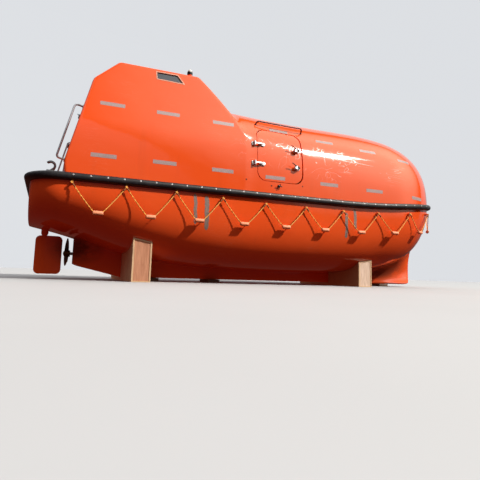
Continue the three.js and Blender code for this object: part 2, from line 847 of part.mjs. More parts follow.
// Release hook frames and hooks
function hookFrame([, x, foot, pivot]) {
  const c = HOOK;
  const side = (s) => {
    const y0 = s * (c.apart / 2);
    const y1 = s * (c.apart / 2 + c.cheek);
    return prism(
      [[x - 105, foot + 8], [x + 105, foot + 8], [x + 46, pivot + 30], [x - 46, pivot + 30]],
      Math.min(-y0, -y1),
      Math.max(-y0, -y1),
      SIDE,
    );
  };
  const base = box(x - 125, x + 125, -80, 80, foot + TOUCH, foot + 14);
  const reach = c.apart / 2 + c.cheek + 8;
  const pin = bar([x, -reach, pivot], [x, reach, pivot], c.pin, 16);
  const stay = box(x - 30, x + 30, -reach + 9, reach - 9, foot + 10, foot + (pivot - foot) * 0.35);
  return join([base, side(-1), side(1), pin, stay]);
}

function hookArm([, x, , pivot]) {
  const c = HOOK;
  const s = new THREE.Shape();
  s.absarc(x, pivot, 32, Math.PI * 0.85, Math.PI * 2.1, false);
  s.lineTo(x + 60, pivot + 40);
  s.absarc(x + 4, pivot + 92, 72, -0.55, Math.PI * 0.78, false);
  s.absarc(x + 4, pivot + 92, 40, Math.PI * 0.78, -0.9, true);
  const half = c.apart / 2 - 5;
  const body = prism(s, -half, half, SIDE);
  return body.subtract(bar([x, -60, pivot], [x, 60, pivot], c.pin + 0.5, 16));
}

// Propeller: three twisted blades on a hub, and its shaft
function makePropeller() {
  const p = PROPELLER;
  const end = p.hubLength / 2;
  const profile = [
    [0, -end],
    [p.hub / 2, -end],
    [p.hub * 0.82, -end * 0.65],
    [p.hub, -end * 0.2],
    [p.hub, end],
    [0, end],
  ];
  const hubShape = new THREE.LatheGeometry(profile.map(([r, h]) => new THREE.Vector2(r, h)), 24);
  hubShape.rotateZ(-Math.PI / 2);
  hubShape.translate(p.x, 0, p.z);
  // radius, chord, thickness
  const table = [
    [30, 70, 20],
    [60, 92, 16],
    [105, 132, 12],
    [150, 152, 9],
    [185, 128, 7],
    [203, 84, 5],
    [p.radius, 36, 4],
  ];
  const blade = loft(
    table.map(([r, chord, thick]) => {
      const pitch = Math.atan2(p.pitch, 2 * Math.PI * r);
      const foil = [[-0.5, 0], [-0.25, 0.42], [0.15, 0.5], [0.5, 0], [0.15, -0.5], [-0.25, -0.42]];
      return foil.map(([c, t]) => {
        const [a, b] = [c * chord, t * thick];
        return [a * Math.sin(pitch) + b * Math.cos(pitch), a * Math.cos(pitch) - b * Math.sin(pitch), r];
      });
    }),
  );
  const blades = [...Array(p.blades).keys()].map((i) =>
    blade.rotate([(i * 360) / p.blades + 12, 0, 0]).translate([p.x, 0, p.z]),
  );
  return join([solid(hubShape), ...blades]);
}

// Rudder: a foil with rounded corners on its stock
function makeRudder() {
  const r = RUDDER;
  const foil = new THREE.Shape();
  foil.moveTo(r.foreX, 0);
  foil.bezierCurveTo(r.foreX, r.thick * 0.62, r.stockX + 60, r.thick / 2, r.stockX, r.thick / 2);
  foil.lineTo(r.aftX, 7);
  foil.lineTo(r.aftX, -7);
  foil.lineTo(r.stockX, -r.thick / 2);
  foil.bezierCurveTo(r.stockX + 60, -r.thick / 2, r.foreX, -r.thick * 0.62, r.foreX, 0);
  const blade = prism(foil, r.low - 5, r.high + 5, PLAN);
  const side = prism(roundedRect(r.aftX - 2, r.foreX + 2, r.low, r.high, 62), -60, 60, SIDE);
  const stock = bar([r.stockX, 0, r.high - 30], [r.stockX, 0, r.head], r.stock, 24);
  return join([blade.intersect(side), stock]);
}

// Grab line: the rope in loops between its eyes, with a float in each
function makeGrabLine() {
  const l = LINE;
  const parts = [];
  for (let i = 0; i < l.bights; i++) {
    const [a, b] = [eyePoint(i), eyePoint(i + 1)];
    const low = { x: (a.x + b.x) / 2, y: (a.y + b.y) / 2, z: sheer((a.x + b.x) / 2) - l.floatDrop };
    const run = Math.hypot(b.x - a.x, b.y - a.y);
    const dir = [(b.x - a.x) / run, (b.y - a.y) / run];
    const half = l.floatLength / 2;
    const ends = [-1, 1].map((s) => [low.x + s * dir[0] * half, -(low.y + s * dir[1] * half), low.z]);
    parts.push(bar(ends[0], ends[1], l.float, 8));
    parts.push(bar([a.x, -a.y, a.z], ends[0], l.rope, 5));
    parts.push(bar(ends[1], [b.x, -b.y, b.z], l.rope, 5));
  }
  for (let i = 0; i <= l.bights; i++) {
    const e = eyePoint(i);
    const out = [Math.sin(e.turn), -Math.cos(e.turn), 0];
    const at = (s) => [e.x + out[0] * s, -e.y + out[1] * s, e.z];
    parts.push(bar(at(-14 + TOUCH), at(12), 15, 6));
  }
  return join(parts);
}

// A plate of the cabin, cut to the inside of the hull
const inHull = (body) => body.intersect(cabin);

// Builds the whole boat
const hullClear = hullSolid(-TOUCH, 0);
const cabin = hullSolid(SHELL + 0.5, SHELL + 0.5, 0);
const cover = makeCover();
let tower = endAt(cover, [-1, 0, 0], TOUCH / 2 - CANOPY_AFT);
let canopy = endAt(endAt(cover, [1, 0, 0], CANOPY_AFT + TOUCH / 2), [-1, 0, 0], TOUCH / 2 - NOSE_AFT);
const noseShell = endAt(cover, [1, 0, 0], NOSE_AFT + TOUCH / 2);

const outside = canopySolid(-TOUCH, 1200);
const hatchHinges = [upHatch(HATCH.hingeLow), upHatch(HATCH.hingeHigh)];
const doorHinges = [DOOR_HINGES.low, DOOR_HINGES.high];
const hatchFeet = join(hatchHinges.map((w) => hingeFoot(LEAVES.hatch, w)));
const doorFeet = join(doorHinges.map((w) => hingeFoot(LEAVES.door, w)));
const lidFeet = join([-1, 1].map((s) => hingeFoot(LEAVES.lid, s * ROOF_HATCH.hinge)));

// Side hatches are cut from the shell itself, so that they lie flush in it
const hatchHole = prism(hatchOutline(0, 0), -260, 200, hatchFrame);
const hatchPlug = prism(hatchOutline(HATCH.gap, HATCH.foreGap), -260, 200, hatchFrame);
const hatchPanel = canopy.intersect(hatchPlug);
canopy = canopy.subtract(hatchHole).subtract(mirrored(hatchHole));
canopy = join([canopy, hatchFeet, mirrored(hatchFeet)]);

// Aft door
const doorShape = (gap, farGap) =>
  roundedRect(
    -AFT_DOOR.width / 2 + gap,
    AFT_DOOR.width / 2 - farGap,
    AFT_DOOR.foot + gap,
    AFT_DOOR.head - gap,
    AFT_DOOR.corner,
  );
const doorPlug = prism(doorShape(AFT_DOOR.gap, AFT_DOOR.farGap), -SHELL - 15, 20, aftWall);
const doorPanel = tower.intersect(doorPlug);
tower = tower.subtract(prism(doorShape(0, 0), -SHELL - 80, 60, aftWall));
tower = join([tower, doorFeet, lidFeet]);

// Windows
for (const [name, frame, outline, both] of WINDOWS) {
  const hole = prism(outline, -SHELL - 60, 60, frame);
  const pane = prism(drawnIn(outline, TOUCH), -PANE.recess - PANE.thick, -PANE.recess, frame);
  tower = tower.subtract(hole);
  if (both) {
    tower = tower.subtract(mirrored(hole));
    placeBoth(name, pane, GLASS);
  } else {
    place(name, pane, GLASS());
  }
}

// Roof hatch: a hole in the tower's roof with a coaming round it
const roof = TOWER.roofZ + TOWER.camber;
const coamingTop = roof + ROOF_HATCH.coaming;
const roofHole = roofPlate(-10, roof - 200, coamingTop + 5);
tower = tower.subtract(roofHole);
const coaming = roofPlate(ROOF_HATCH.rim, roof - 60, coamingTop).subtract(roofHole);

// Well for the forward hook: an open tub let into the nose
const bowWell = (out, down) =>
  box(
    BOW_WELL.x - out,
    BOW_WELL.x + BOW_WELL.length + out,
    -BOW_WELL.width / 2 - out,
    BOW_WELL.width / 2 + out,
    BOW_WELL.floor - down,
    3000,
  );
const tub = bowWell(BOW_WELL.wall, BOW_WELL.wall).intersect(canopySolid(0, 1200));
const nose = noseShell.subtract(bowWell(BOW_WELL.wall + TOUCH, BOW_WELL.wall + TOUCH));

const hull = makeHull();
place("hull", hull, ORANGE());
place("keel", makeKeel(hullClear), ORANGE());

place("canopy", canopy, ORANGE());
place("canopy_nose", nose, ORANGE());
place("tower", endAt(tower, [1, 0, 0], AFT_WALL_END + TOUCH / 2), ORANGE());
place("tower_aft", endAt(tower, [-1, 0, 0], TOUCH / 2 - AFT_WALL_END), ORANGE());
place("aft_deck", makeAftDeck(), ORANGE());
place("roof_coaming", coaming.subtract(towerSolid(-TOUCH)), ORANGE());
place("bow_well", tub.subtract(bowWell(0, 0)), ORANGE());

// Fenders: a length on each side from the stern's corner to the stem, and one round the stern
const gunwale = gunwalePlaces();
const corner = STERN_STATIONS.length;
const split = STERN_STATIONS.at(-1);
const sideFender = endAt(fenderAlong(gunwale.slice(corner - 1)), [0, -1, 0], TOUCH / 2);
placeBoth("fender", endAt(sideFender, [1, 0, 0], split + TOUCH / 2), BLACK);
const sternHalf = gunwale.slice(0, corner + 2);
const sternPort = sternHalf.slice(1).map((p) => ({ ...p, y: -p.y, out: [p.out[0], -p.out[1]] }));
const sternRing = [...sternPort.reverse(), ...sternHalf];
place("fender_stern", endAt(fenderAlong(sternRing), [-1, 0, 0], TOUCH / 2 - split), BLACK());

placeBoth("side_hatch", hatchPanel, ORANGE);
place("aft_door", doorPanel, ORANGE());
const lidBottom = coamingTop + TOUCH;
const lid = roofPlate(ROOF_HATCH.rim + ROOF_HATCH.lip, lidBottom, lidBottom + ROOF_HATCH.lid);
place("roof_hatch", lid, ORANGE());

// Hinges, latches, rails, light
const latchU = HATCH.x + HATCH.width - HATCH.latchAft;
const latchHeights = [upHatch(HATCH.latchLow), upHatch(HATCH.latchHigh)];
["low", "high"].forEach((level, i) => {
  const strap = hingeStrap(LEAVES.hatch, hatchHinges[i]).subtract(outside);
  placeBoth("hatch_hinge_" + level, strap, STEEL);
  const lever = latch(LEAVES.hatch, latchU, latchHeights[i]).subtract(outside);
  placeBoth("hatch_latch_" + level, lever, STEEL);
  place("door_hinge_" + level, hingeStrap(LEAVES.door, doorHinges[i]), STEEL());
  const doorLatchU = AFT_DOOR.width / 2 - AFT_DOOR.latch;
  place("door_latch_" + level, latch(LEAVES.door, doorLatchU, doorHinges[i]), STEEL());
});
placeBoth("lid_hinge", hingeStrap(LEAVES.lid, ROOF_HATCH.hinge), STEEL);

const sr = STERN_RAIL;
const sternRailPoints = [
  [-sr.y, sr.low, 0],
  [-sr.y, sr.low, sr.out],
  [-sr.y, sr.high, sr.out],
  [-sr.y, sr.high, 0],
].map(([y, up, out]) => new THREE.Vector3(-y, up, out + TOUCH).applyMatrix4(aftWall).toArray());
placeBoth("stern_rail", bentBar(sternRailPoints, sr.radius), STEEL);

const hr = HATCH_RAIL;
const railFrame = frameOf([0, -canopySide(hr.aft, hr.z), hr.z], [1, 0, 0], [0, 1, 1]);
const railPoints = [
  [hr.aft, 0, -30],
  [hr.aft + 25, 0, hr.out],
  [hr.fore - 25, 0, hr.out - 12],
  [hr.fore, 0, -60],
].map((p) => new THREE.Vector3(...p).applyMatrix4(railFrame).toArray());
placeBoth("hatch_rail", bentBar(railPoints, hr.radius).subtract(outside), ORANGE);

const bc = BEACON;
const roofAt = TOWER.roofZ + TOWER.camber * 0.25;
const beaconProfile = [
  [0, 0],
  [bc.radius, 0],
  [bc.radius, bc.base],
  [bc.radius * 0.9, bc.base + 6],
  [bc.radius * 0.9, bc.dome * 0.72],
  [bc.radius * 0.6, bc.dome * 0.93],
  [0, bc.dome],
];
const beaconShape = new THREE.LatheGeometry(beaconProfile.map(([r, h]) => new THREE.Vector2(r, h)), 20);
beaconShape.rotateX(Math.PI / 2);
beaconShape.translate(bc.x, bc.y, roofAt - 8);
place("beacon", solid(beaconShape).subtract(towerSolid(-TOUCH)), WHITE());

// Release hooks
for (const row of HOOKS) {
  place("hook_frame_" + row[0], hookFrame(row), STEEL());
  place("hook_" + row[0], hookArm(row), STEEL());
}

// Stern gear
place("propeller", makePropeller(), BRONZE());
const shaftEnds = [PROPELLER.x + PROPELLER.hubLength / 2 + TOUCH, SKEG_AFT + SHAFT.into];
const shaft = bar(...shaftEnds.map((x) => [x, 0, PROPELLER.z]), SHAFT.radius, 24);
place("propeller_shaft", shaft, STEEL());
place("rudder", makeRudder(), ORANGE());

// Grab lines
placeBoth("grab_line", makeGrabLine(), ROPE);

// Cabin
place("sole", inHull(box(SOLE.aft, SOLE.fore, -1200, 1200, SOLE.z, SOLE.z + SOLE.thick)), WHITE());
const onSole = SOLE.z + SOLE.thick + TOUCH;
const bench = box(BENCH.aft, BENCH.fore, -HALF_BEAM, -BENCH.inner, onSole, BENCH.top);
placeBoth("bench", inHull(bench), WHITE);
const engine = box(ENGINE.aft, ENGINE.fore, -ENGINE.half, ENGINE.half, onSole, ENGINE.top);
place("engine", engine, WHITE());
const seatFoot = box(HELM.seatX - 60, HELM.seatX + 60, -60, 60, ENGINE.top + TOUCH, HELM.seatTop - 60);
const seatPan = box(HELM.seatX - 190, HELM.seatX + 200, -210, 210, HELM.seatTop - 70, HELM.seatTop);
const seatBack = box(HELM.seatX - 190, HELM.seatX - 130, -200, 200, HELM.seatTop - 10, HELM.seatTop + 420);
place("helm_seat", join([seatFoot, seatPan, seatBack]), BLACK());
const desk = prism(
  [
    [HELM.deskX + 30, SOLE.z],
    [HELM.deskX + 260, SOLE.z],
    [HELM.deskX + 260, HELM.deskTop],
    [HELM.deskX + 120, HELM.deskTop],
    [HELM.deskX + 30, HELM.deskTop - 160],
  ],
  -330,
  330,
  SIDE,
).trimByPlane([0, 0, 1], onSole);
place("helm_console", desk, WHITE());
const rim = new THREE.TorusGeometry(HELM.wheel, 14, 6, 20);
rim.rotateY(Math.PI / 2);
rim.translate(HELM.deskX - 30, 0, HELM.deskTop - 230);
const hubAt = [HELM.deskX - 30, 0, HELM.deskTop - 230];
const spokes = [0, 1, 2].map((k) => {
  const a = (k * 2 * Math.PI) / 3 + Math.PI / 2;
  return bar(hubAt, [hubAt[0], HELM.wheel * Math.cos(a), hubAt[2] + HELM.wheel * Math.sin(a)], 9, 8);
});
const column = bar([hubAt[0] - 20, 0, hubAt[2]], [HELM.deskX + 30 - TOUCH, 0, hubAt[2]], 24, 12);
place("steering_wheel", join([solid(rim), ...spokes, column]), BLACK());

// Cradle: the saddles follow the hull, and the keel stands on blocks
const slot = KEEL_HALF_WIDTH + TOUCH;
const keelClear = box(0, HULL_LENGTH, -slot, slot, KEEL_BOTTOM - TOUCH, SHEER);
for (const [name, x, thick, reach, top] of SADDLES) {
  const plate = box(x - thick / 2, x + thick / 2, -reach, reach, 0, top);
  place(name, plate.subtract(hullClear).subtract(keelClear), PLY());
}
for (const [name, x, length] of KEEL_BLOCKS) {
  const half = KEEL_BLOCK_WIDTH / 2;
  place(name, box(x - length / 2, x + length / 2, -half, half, 0, KEEL_BOTTOM - TOUCH), TIMBER());
}

const middle = new THREE.Box3().setFromObject(assembly);
assembly.position.x = -(middle.min.x + middle.max.x) / 2;
export default assembly;
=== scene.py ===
# Looks of a totally enclosed lifeboat on its cradle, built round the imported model.
# The tables and the shape functions work in the boat's own lines: millimetres, x from the
# transom, y to port, z above the floor. metres() turns them into the frame's metres.
# A form is a pair of points and faces.
import json
import math

import bmesh
import bpy
import numpy as np
from mathutils import Matrix, Vector


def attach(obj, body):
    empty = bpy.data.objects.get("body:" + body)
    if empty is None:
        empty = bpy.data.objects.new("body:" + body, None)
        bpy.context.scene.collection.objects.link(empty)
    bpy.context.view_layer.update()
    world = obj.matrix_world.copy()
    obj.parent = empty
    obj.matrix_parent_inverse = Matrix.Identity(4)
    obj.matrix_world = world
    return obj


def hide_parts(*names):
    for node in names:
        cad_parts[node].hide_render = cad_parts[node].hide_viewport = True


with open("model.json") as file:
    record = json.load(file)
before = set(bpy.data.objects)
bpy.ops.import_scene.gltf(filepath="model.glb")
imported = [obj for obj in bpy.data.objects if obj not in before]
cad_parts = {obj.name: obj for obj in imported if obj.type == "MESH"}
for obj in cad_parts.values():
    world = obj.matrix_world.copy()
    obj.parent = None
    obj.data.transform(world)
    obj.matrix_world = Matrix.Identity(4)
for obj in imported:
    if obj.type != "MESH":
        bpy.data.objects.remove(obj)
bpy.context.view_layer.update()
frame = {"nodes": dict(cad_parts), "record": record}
NODES = frame["nodes"]
SLOT_OF = {row["node"]: row["material_slot"] for row in frame["record"]["subparts"]}
BODIES = frame["record"]["behaviour"]["bodies"]
BODY_OF = {node: body for body, nodes in BODIES.items() for node in nodes}
ROOT = "boat"
SIDES = {-1: "starboard", 1: "port"}
ACROSS, UP = [1, -1, 1], (0, 0, 1)
TOUCH = 0.3

# The boat's lines
SHIFT = -3233.0  # x of the frame's origin is the middle of the overall length
HULL_LENGTH = 6480.0
LAST_STATION = HULL_LENGTH - 14.0
HALF_BEAM = 1190.0
SHELL = 45.0
SHEER, SHEER_RISE, SHEER_START = 1200.0, 200.0, 4200.0
BOW_START = 5130.0
STERN_CORNER = 340.0
NOSE_START, NOSE_POWER = 4300.0, 2.5
# x, crown above the gunwale, exponent of the section
CANOPY_TABLE = [
    (0, 1290, 4), (1200, 1290, 4), (2450, 1290, 4), (3000, 1295, 3.5),
    (3600, 1305, 3.15), (4400, 1315, 3), (5300, 1320, 2.7), (6480, 1320, 2.3),
]
# x, height of the moulded bottom, exponent of the section
HULL_TABLE = [
    (0, 700, 2.6), (300, 640, 2.7), (600, 560, 2.8), (1200, 380, 3.0), (1900, 260, 3.2),
    (2800, 205, 3.3), (4200, 200, 3.2), (5000, 235, 2.8), (5500, 300, 2.4), (5900, 410, 2.1),
    (6200, 590, 2.0), (6400, 860, 1.9), (6480, 1240, 1.9),
]
# Corners of the tower's profile, x and height, and the reach of the rounding along each wall
AFT_PROFILE, AFT_ROUNDING = [(381, 1200), (346, 1372), (622, 2493), (933, 2787)], (60, 36, 24)
FORE_PROFILE, FORE_ROUNDING = [(1987, 2787), (2252, 2550), (2466, 2280), (2600, 1980)], (24, 70, 70)
SIDE_ROUNDING, NECK_ROUNDING = 24.0, 150.0
ROOF_Z, ROOF_HALF, CAMBER, TANGENT_Z = 2787.0, 985.0, 40.0, 1950.0
SIDE_HEIGHT, COVER_AFT = 1290, 900
SIDE_RUN, WALL_RUN, BEVEL_RUN = 1900, 1250, 480  # about the way up the side, the aft wall and its bevel
FRONT_FOOT = 2640.0  # the tower's front runs out in the canopy ahead of here
RIM_GAP, TIP_GAP = 0.4, 0.2  # the cover's rim above the hull's, the skins' tips short of the stem
HATCH = {"x": 2807, "width": 713, "foot": 1410, "head": 2170, "corner": 130, "axis": 2759,
         "low": 1640, "high": 1916, "latch_low": 1632, "latch_high": 1886, "latch_aft": 95}
DOOR = {"half": 310, "foot": 280, "head": 1010, "corner": 110, "low": 430, "high": 880, "latch_in": 90}
LID = {"x": 1180, "length": 600, "half": 310, "corner": 90, "hinge_x": 1814, "top": 2905.3, "hinge": 190}
WELL = {"x": 5420, "length": 460, "half": 150, "floor": 2030, "wall": 16.3}
# How far the cuts reach in and out of a wall, and the gaps left round the leaves
HATCH_PUNCH, DOOR_PUNCH, PANE_PUNCH, ABOVE = (-260, 200), (-SHELL - 80, 60), (-105, 60), 3000
DOOR_LEAF, HATCH_GAPS, DOOR_GAPS, LID_INSET = (-70, 30), (8, 18), (8, 13), 10
SIDE_PANE = [(1412, -152), (1776, -160), (1688, -42), (1404, -46)]
WINDSCREEN = [(-640, -300), (640, -300), (600, -70), (-600, -70)]
AFT_PANE = [(-500, 90), (500, 90), (470, 320), (-470, 320)]
KEEL = {"half": 55.0, "bottom": 45.0, "inset": 18}
FOREFOOT = {"aft": 4915, "full": 5800, "hollow": 440, "swell_aft": 5350, "swell_fore": 6050, "swell": 100}
SKEG = [(580, 620), (580, 205), (640, 182), (1230, 45), (4923, 45), (4923, 300), (2600, 260)]
# height, stem's front edge, share of the foot's swell
STEM_TABLE = [
    (45, 6262, 0.7), (52, 6325, 0.9), (64, 6358, 1), (84, 6378, 0.86), (110, 6386, 0.62),
    (145, 6392, 0.4), (190, 6397, 0.24), (240, 6401, 0.13), (300, 6404, 0.06), (370, 6407, 0.02),
    (450, 6410, 0), (560, 6412, 0), (612, 6392, 0), (670, 6320, 0), (760, 6150, 0),
]
FENDER = {"half": 47.0, "depth": 68.0, "power": 0.8, "bolts": 193.0, "first_bolt": 123.0,
          "bolt_out": 64, "bolt_up": 15, "bolt_tilt": 0.2, "clear_end": 60}
LINE = {"first": 455, "spacing": 618, "bights": 10, "aft_drop": 72, "fore_drop": 118, "drop_from": 1600,
        "drop_over": 1400, "float_drop": 408, "rope": 7.0, "float": 26.0, "float_length": 122.0,
        "stand": 44.0, "lay": 150, "sag": 0.025, "step": 11.0, "in_float": 20, "loop": 10, "loop_rope": 5.6}
STERN_RAIL = {"y": 960, "low": 70, "high": 780, "out": 100, "radius": 13, "bend": 42, "screws": 21}
HATCH_RAIL = {"aft": 2820, "fore": 3578, "z": 2235, "out": 58, "radius": 11, "bend": 30}
HINGE = {"back": 48, "out": 32, "half": 17, "cheek": 11, "knuckle": 14, "pin": 6, "pad": 90,
         "pad_radius": 26}
PROPELLER = {"x": 500, "z": 345, "hub": 44, "half": 46.0, "blades": 3, "pitch": 300, "turn": 12}
# radius, chord, thickness of a propeller blade
BLADE_TABLE = [(30, 70, 20), (60, 92, 16), (105, 132, 12), (150, 152, 9), (185, 128, 7), (203, 84, 5),
               (212, 36, 4)]
RUDDER = {"stock_x": 205, "fore": 438, "aft": 96, "low": 62, "high": 575, "half": 21, "corner": 62,
          "lead": 4, "tail": 7, "rim": 6}
# name, x of its middle, thickness, half width, height of its ends
SADDLES = [("saddle_aft", 1356, 240, 965, 565), ("saddle_fore", 4790, 235, 900, 430)]
PLY = {"sheet": 20.0, "recess": 7.0, "end": 60}
BOX_FACES = [(0, 1, 3, 2), (4, 6, 7, 5), (0, 4, 5, 1), (2, 3, 7, 6), (0, 2, 6, 4), (1, 5, 7, 3)]
# Reflective tapes on each side: x of the aft end, height of the middle
UPPER_TAPES = [(715, 2164), (1413, 2158), (2168, 2144), (3040, 2184), (3800, 2122), (4572, 2075),
               (5307, 2012)]
HATCH_TAPE = (2930, 1466)
LOWER_TAPES = [(640, 1490), (1382, 1493), (2156, 1480), HATCH_TAPE, (3800, 1458), (4601, 1440),
               (5505, 1416)]
TAPE = {"length": 300.0, "width": 50.0, "lift": 1.0}
# Worn strips on the starboard topside: x, width, top, bottom
WORN_STRIPS = [(1945, 44, 1136, 752), (2100, 58, 1124, 688), (4240, 48, 1072, 705), (4385, 46, 1138, 845)]
WEAR = {"rows": 34, "least": 0.82, "ragged": 0.3, "lean": 26, "sway": 3, "wave": 31, "lift": 0.7}
# Below the side hatch: x and height
TAP_AT, PLUGS = (3137, 1352), [(2645, 1401), (3025, 1351), (3509, 1388)]

# Small turned forms: radius and height
RUDDER_BOSS = [(34, 575), (46, 600), (46, 760), (34, 765)]
RUDDER_STOCK = [(22, 545), (22, 900)]
RUDDER_COLLAR = [(30, 557), (30, 589), (26, 593)]
LUG = [(22, 0), (22, 31), (15, 38), (15, 58), (12, 60)]
FENDER_BOLT = [(12, -3), (12, 1), (8, 3)]
WHIPPING_SHAPE = [(7, 18), (9.5, 22), (9.5, 58), (7, 62)]
RAIL_FOOT = [(30, -4), (30, 5), (26, 8)]
TAP = [(20, -4), (20, 5), (12, 9), (10, 24), (13, 30), (13, 34)]
BEACON_AT = (1893, -850)
BEACON_STEM = [(40, 0), (40, 13), (32, 16), (32, 56), (28.8, 60)]
BEACON_COLLAR = [(28, 58), (37.6, 60), (37.6, 94), (32, 98)]
BEACON_LENS = [(31.2, 96)] + [(32 * math.cos(t), 100.32 + 38 * math.sin(t)) for t in np.linspace(0, 1.5, 9)]
# A hinge strap's arm from the side, and the neck of its pad, from the leaf's edge
STRAP_ARM = [(-48, 23), (30, 23), (46, -10), (74, -10), (74, 16), (58, 39), (36, 44), (-48, 44)]
STRAP_NECK = [(36, 21), (26, 14), (26, -14), (36, -21)]
# A latch, from its middle
LATCH_HEAD = [(-62, -24), (-15, -33), (-15, 33), (-62, 24)]
LATCH_POINT = [(-15.5, -32), (6, -20), (24, 0), (6, 20), (-15.5, 32)]
LATCH_SCREWS = [(-42, -16), (-42, 16), (23, -17), (23, 17)]
LATCH_LEVER = [(-40, 20, 46), (-75, 36, 54), (-112, 52, 64)]
# Edges rounded on the solids that are shown as they are
SOFT_EDGES = {"aft_deck": 8, "roof_coaming": 5, "roof_hatch": 9, "hook_frame_aft": 3, "hook_frame_fore": 3,
              "hook_aft": 4, "hook_fore": 4, "keel_block_aft": 5, "keel_block_mid": 5,
              "keel_block_bow": 5, "helm_seat": 12, "helm_console": 10, "engine": 14}


def metres(points):
    p = np.array(points, float)
    p[..., 0] += SHIFT
    return p / 1000


def linked(name, data):
    made = bpy.data.objects.new(name, data)
    bpy.context.scene.collection.objects.link(made)
    return made


# Camera
CAMERA_AT = (-2.983, -6.891, 0.145)
YAW, PITCH, ROLL = (math.radians(a) for a in (22.13, 7.22, 1.78))
SENSOR = 36
FOCAL_SHARE = 470 / 480  # focal length over the frame's width
CENTRE_DROP = 26 / 480  # how far the frame's middle lies below the optical axis


def add_camera():
    turn = np.array([[math.cos(YAW), -math.sin(YAW), 0], [0, 0, -1], [math.sin(YAW), math.cos(YAW), 0]])
    tilt = np.array([[1, 0, 0], [0, math.cos(PITCH), math.sin(PITCH)],
                     [0, -math.sin(PITCH), math.cos(PITCH)]])
    lean = np.array([[math.cos(ROLL), -math.sin(ROLL), 0], [math.sin(ROLL), math.cos(ROLL), 0], [0, 0, 1]])
    right, down, forward = lean @ tilt @ turn
    data = bpy.data.cameras.new("camera")
    data.sensor_width = SENSOR
    data.lens = SENSOR * FOCAL_SHARE
    data.shift_y = -CENTRE_DROP
    data.clip_end = 200
    camera = linked("camera", data)
    axes = Matrix([list(right), list(-down), list(-forward)]).transposed().to_4x4()
    camera.matrix_world = Matrix.Translation(CAMERA_AT) @ axes
    bpy.context.scene.camera = camera


add_camera()


# Materials
class Shader:
    """The nodes of a material or a world, made one after another."""

    def __init__(self, name, library="materials", surface="Principled BSDF"):
        self.owner = getattr(bpy.data, library).new(name)
        self.owner.use_nodes = True
        self.tree = self.owner.node_tree
        self.surface = self.tree.nodes[surface]

    def feed(self, socket, value):
        if isinstance(value, bpy.types.NodeSocket):
            self.tree.links.new(value, socket)
        elif socket.type == "RGBA":
            socket.default_value = (*value, 1)
        else:
            socket.default_value = value

    def node(self, kind, links=None, **values):
        made = self.tree.nodes.new("ShaderNode" + kind)
        for key, value in values.items():
            setattr(made, key, value)
        for socket, source in (links or {}).items():
            self.feed(made.inputs[socket], source)
        return made

    def set(self, **values):
        for key, value in values.items():
            self.feed(self.surface.inputs[key.replace("_", " ")], value)

    def place(self, scale=(1, 1, 1), turn=(0, 0, 0), origin=(0, 0, 0)):
        where = self.node("TexCoord").outputs["Object"]
        links = {"Vector": where, "Scale": scale, "Rotation": turn, "Location": origin}
        return self.node("Mapping", links).outputs["Vector"]

    def noise(self, scale, detail=3.0, rough=0.5, stretch=(1, 1, 1), turn=(0, 0, 0), twist=0.0):
        made = self.node("TexNoise", {"Vector": self.place(stretch, turn), "Scale": scale,
                                      "Detail": detail, "Roughness": rough, "Distortion": twist})
        return made.outputs["Fac"]

    def ramp(self, fac, *stops):
        made = self.node("ValToRGB", {"Fac": fac})
        for i, (at, value) in enumerate(stops):
            element = made.color_ramp.elements[i] if i < 2 else made.color_ramp.elements.new(at)
            element.position = at
            element.color = (value, value, value, 1) if isinstance(value, (int, float)) else (*value, 1)
        return made.outputs["Color"]

    def patches(self, low, high, *noise):
        """Soft-edged patches of a noise, none below low and full above high."""
        return self.ramp(self.noise(*noise), (low, 0.0), (high, 1.0))

    def contour(self, fac, width):
        """A line where a value passes through its middle."""
        return self.ramp(fac, (0.5 - width, 0.0), (0.5, 1.0), (0.5 + width, 0.0))

    def math(self, kind, a, b):
        return self.node("Math", {0: a, 1: b}, operation=kind).outputs[0]

    def times(self, a, b):
        return self.math("MULTIPLY", a, b)

    def plus(self, a, b):
        return self.math("ADD", a, b)

    def most(self, a, b):
        return self.math("MAXIMUM", a, b)

    def mix(self, fac, a, b):
        made = self.node("Mix", data_type="RGBA")
        for socket, value in zip([s for s in made.inputs if s.enabled], (fac, a, b)):
            self.feed(socket, value)
        return [s for s in made.outputs if s.enabled][0]

    def tint(self, colour, mask, share, other):
        """A colour turned to another by a share of a mask."""
        return self.mix(self.times(mask, share), colour, other)

    def bump(self, height, distance, strength, **normal):
        links = {"Height": height, "Distance": distance, "Strength": strength, **normal}
        return self.node("Bump", links).outputs["Normal"]

    def length(self, vector):
        return self.node("VectorMath", {0: vector}, operation="LENGTH").outputs["Value"]

    def spot(self, centre, reach, core=0.3):
        """One near a place of the boat, in millimetres, and nothing outside its reach."""
        scale = tuple(1000 / r for r in reach)
        origin = tuple(float(-c * s) for c, s in zip(metres(centre), scale))
        return self.ramp(self.length(self.place(scale, origin=origin)), (core, 1.0), (1.0, 0.0))


def srgb(r, g, b):
    return tuple((c / 255 / 12.92) if c < 11 else ((c / 255 + 0.055) / 1.055) ** 2.4 for c in (r, g, b))


def hair_lines(s, scale, turn):
    """Wandering hair lines in some patches of a surface."""
    lines = s.contour(s.noise(scale, 2, 0.5, (0.35, 0.35, 6.0), turn, 0.6), 0.008)
    return s.times(lines, s.patches(0.52, 0.66, 1.7, 2))


def low_dust_and_shade(s):
    """Grey-brown dust and painted shade low on the bow, and painted shade on the stern's skeg."""
    dust_and_shade = s.spot((5560, -240, 330), (900, 520, 330), 0.5)
    dust_and_shade = s.most(dust_and_shade, s.spot((5560, 240, 330), (900, 520, 330), 0.5))
    dust_and_shade = s.most(dust_and_shade, s.spot((620, 0, 420), (420, 300, 260)))
    return s.times(dust_and_shade, s.patches(0.2, 0.5, 3.2, 6, 0.65, (1, 1, 1.6)))


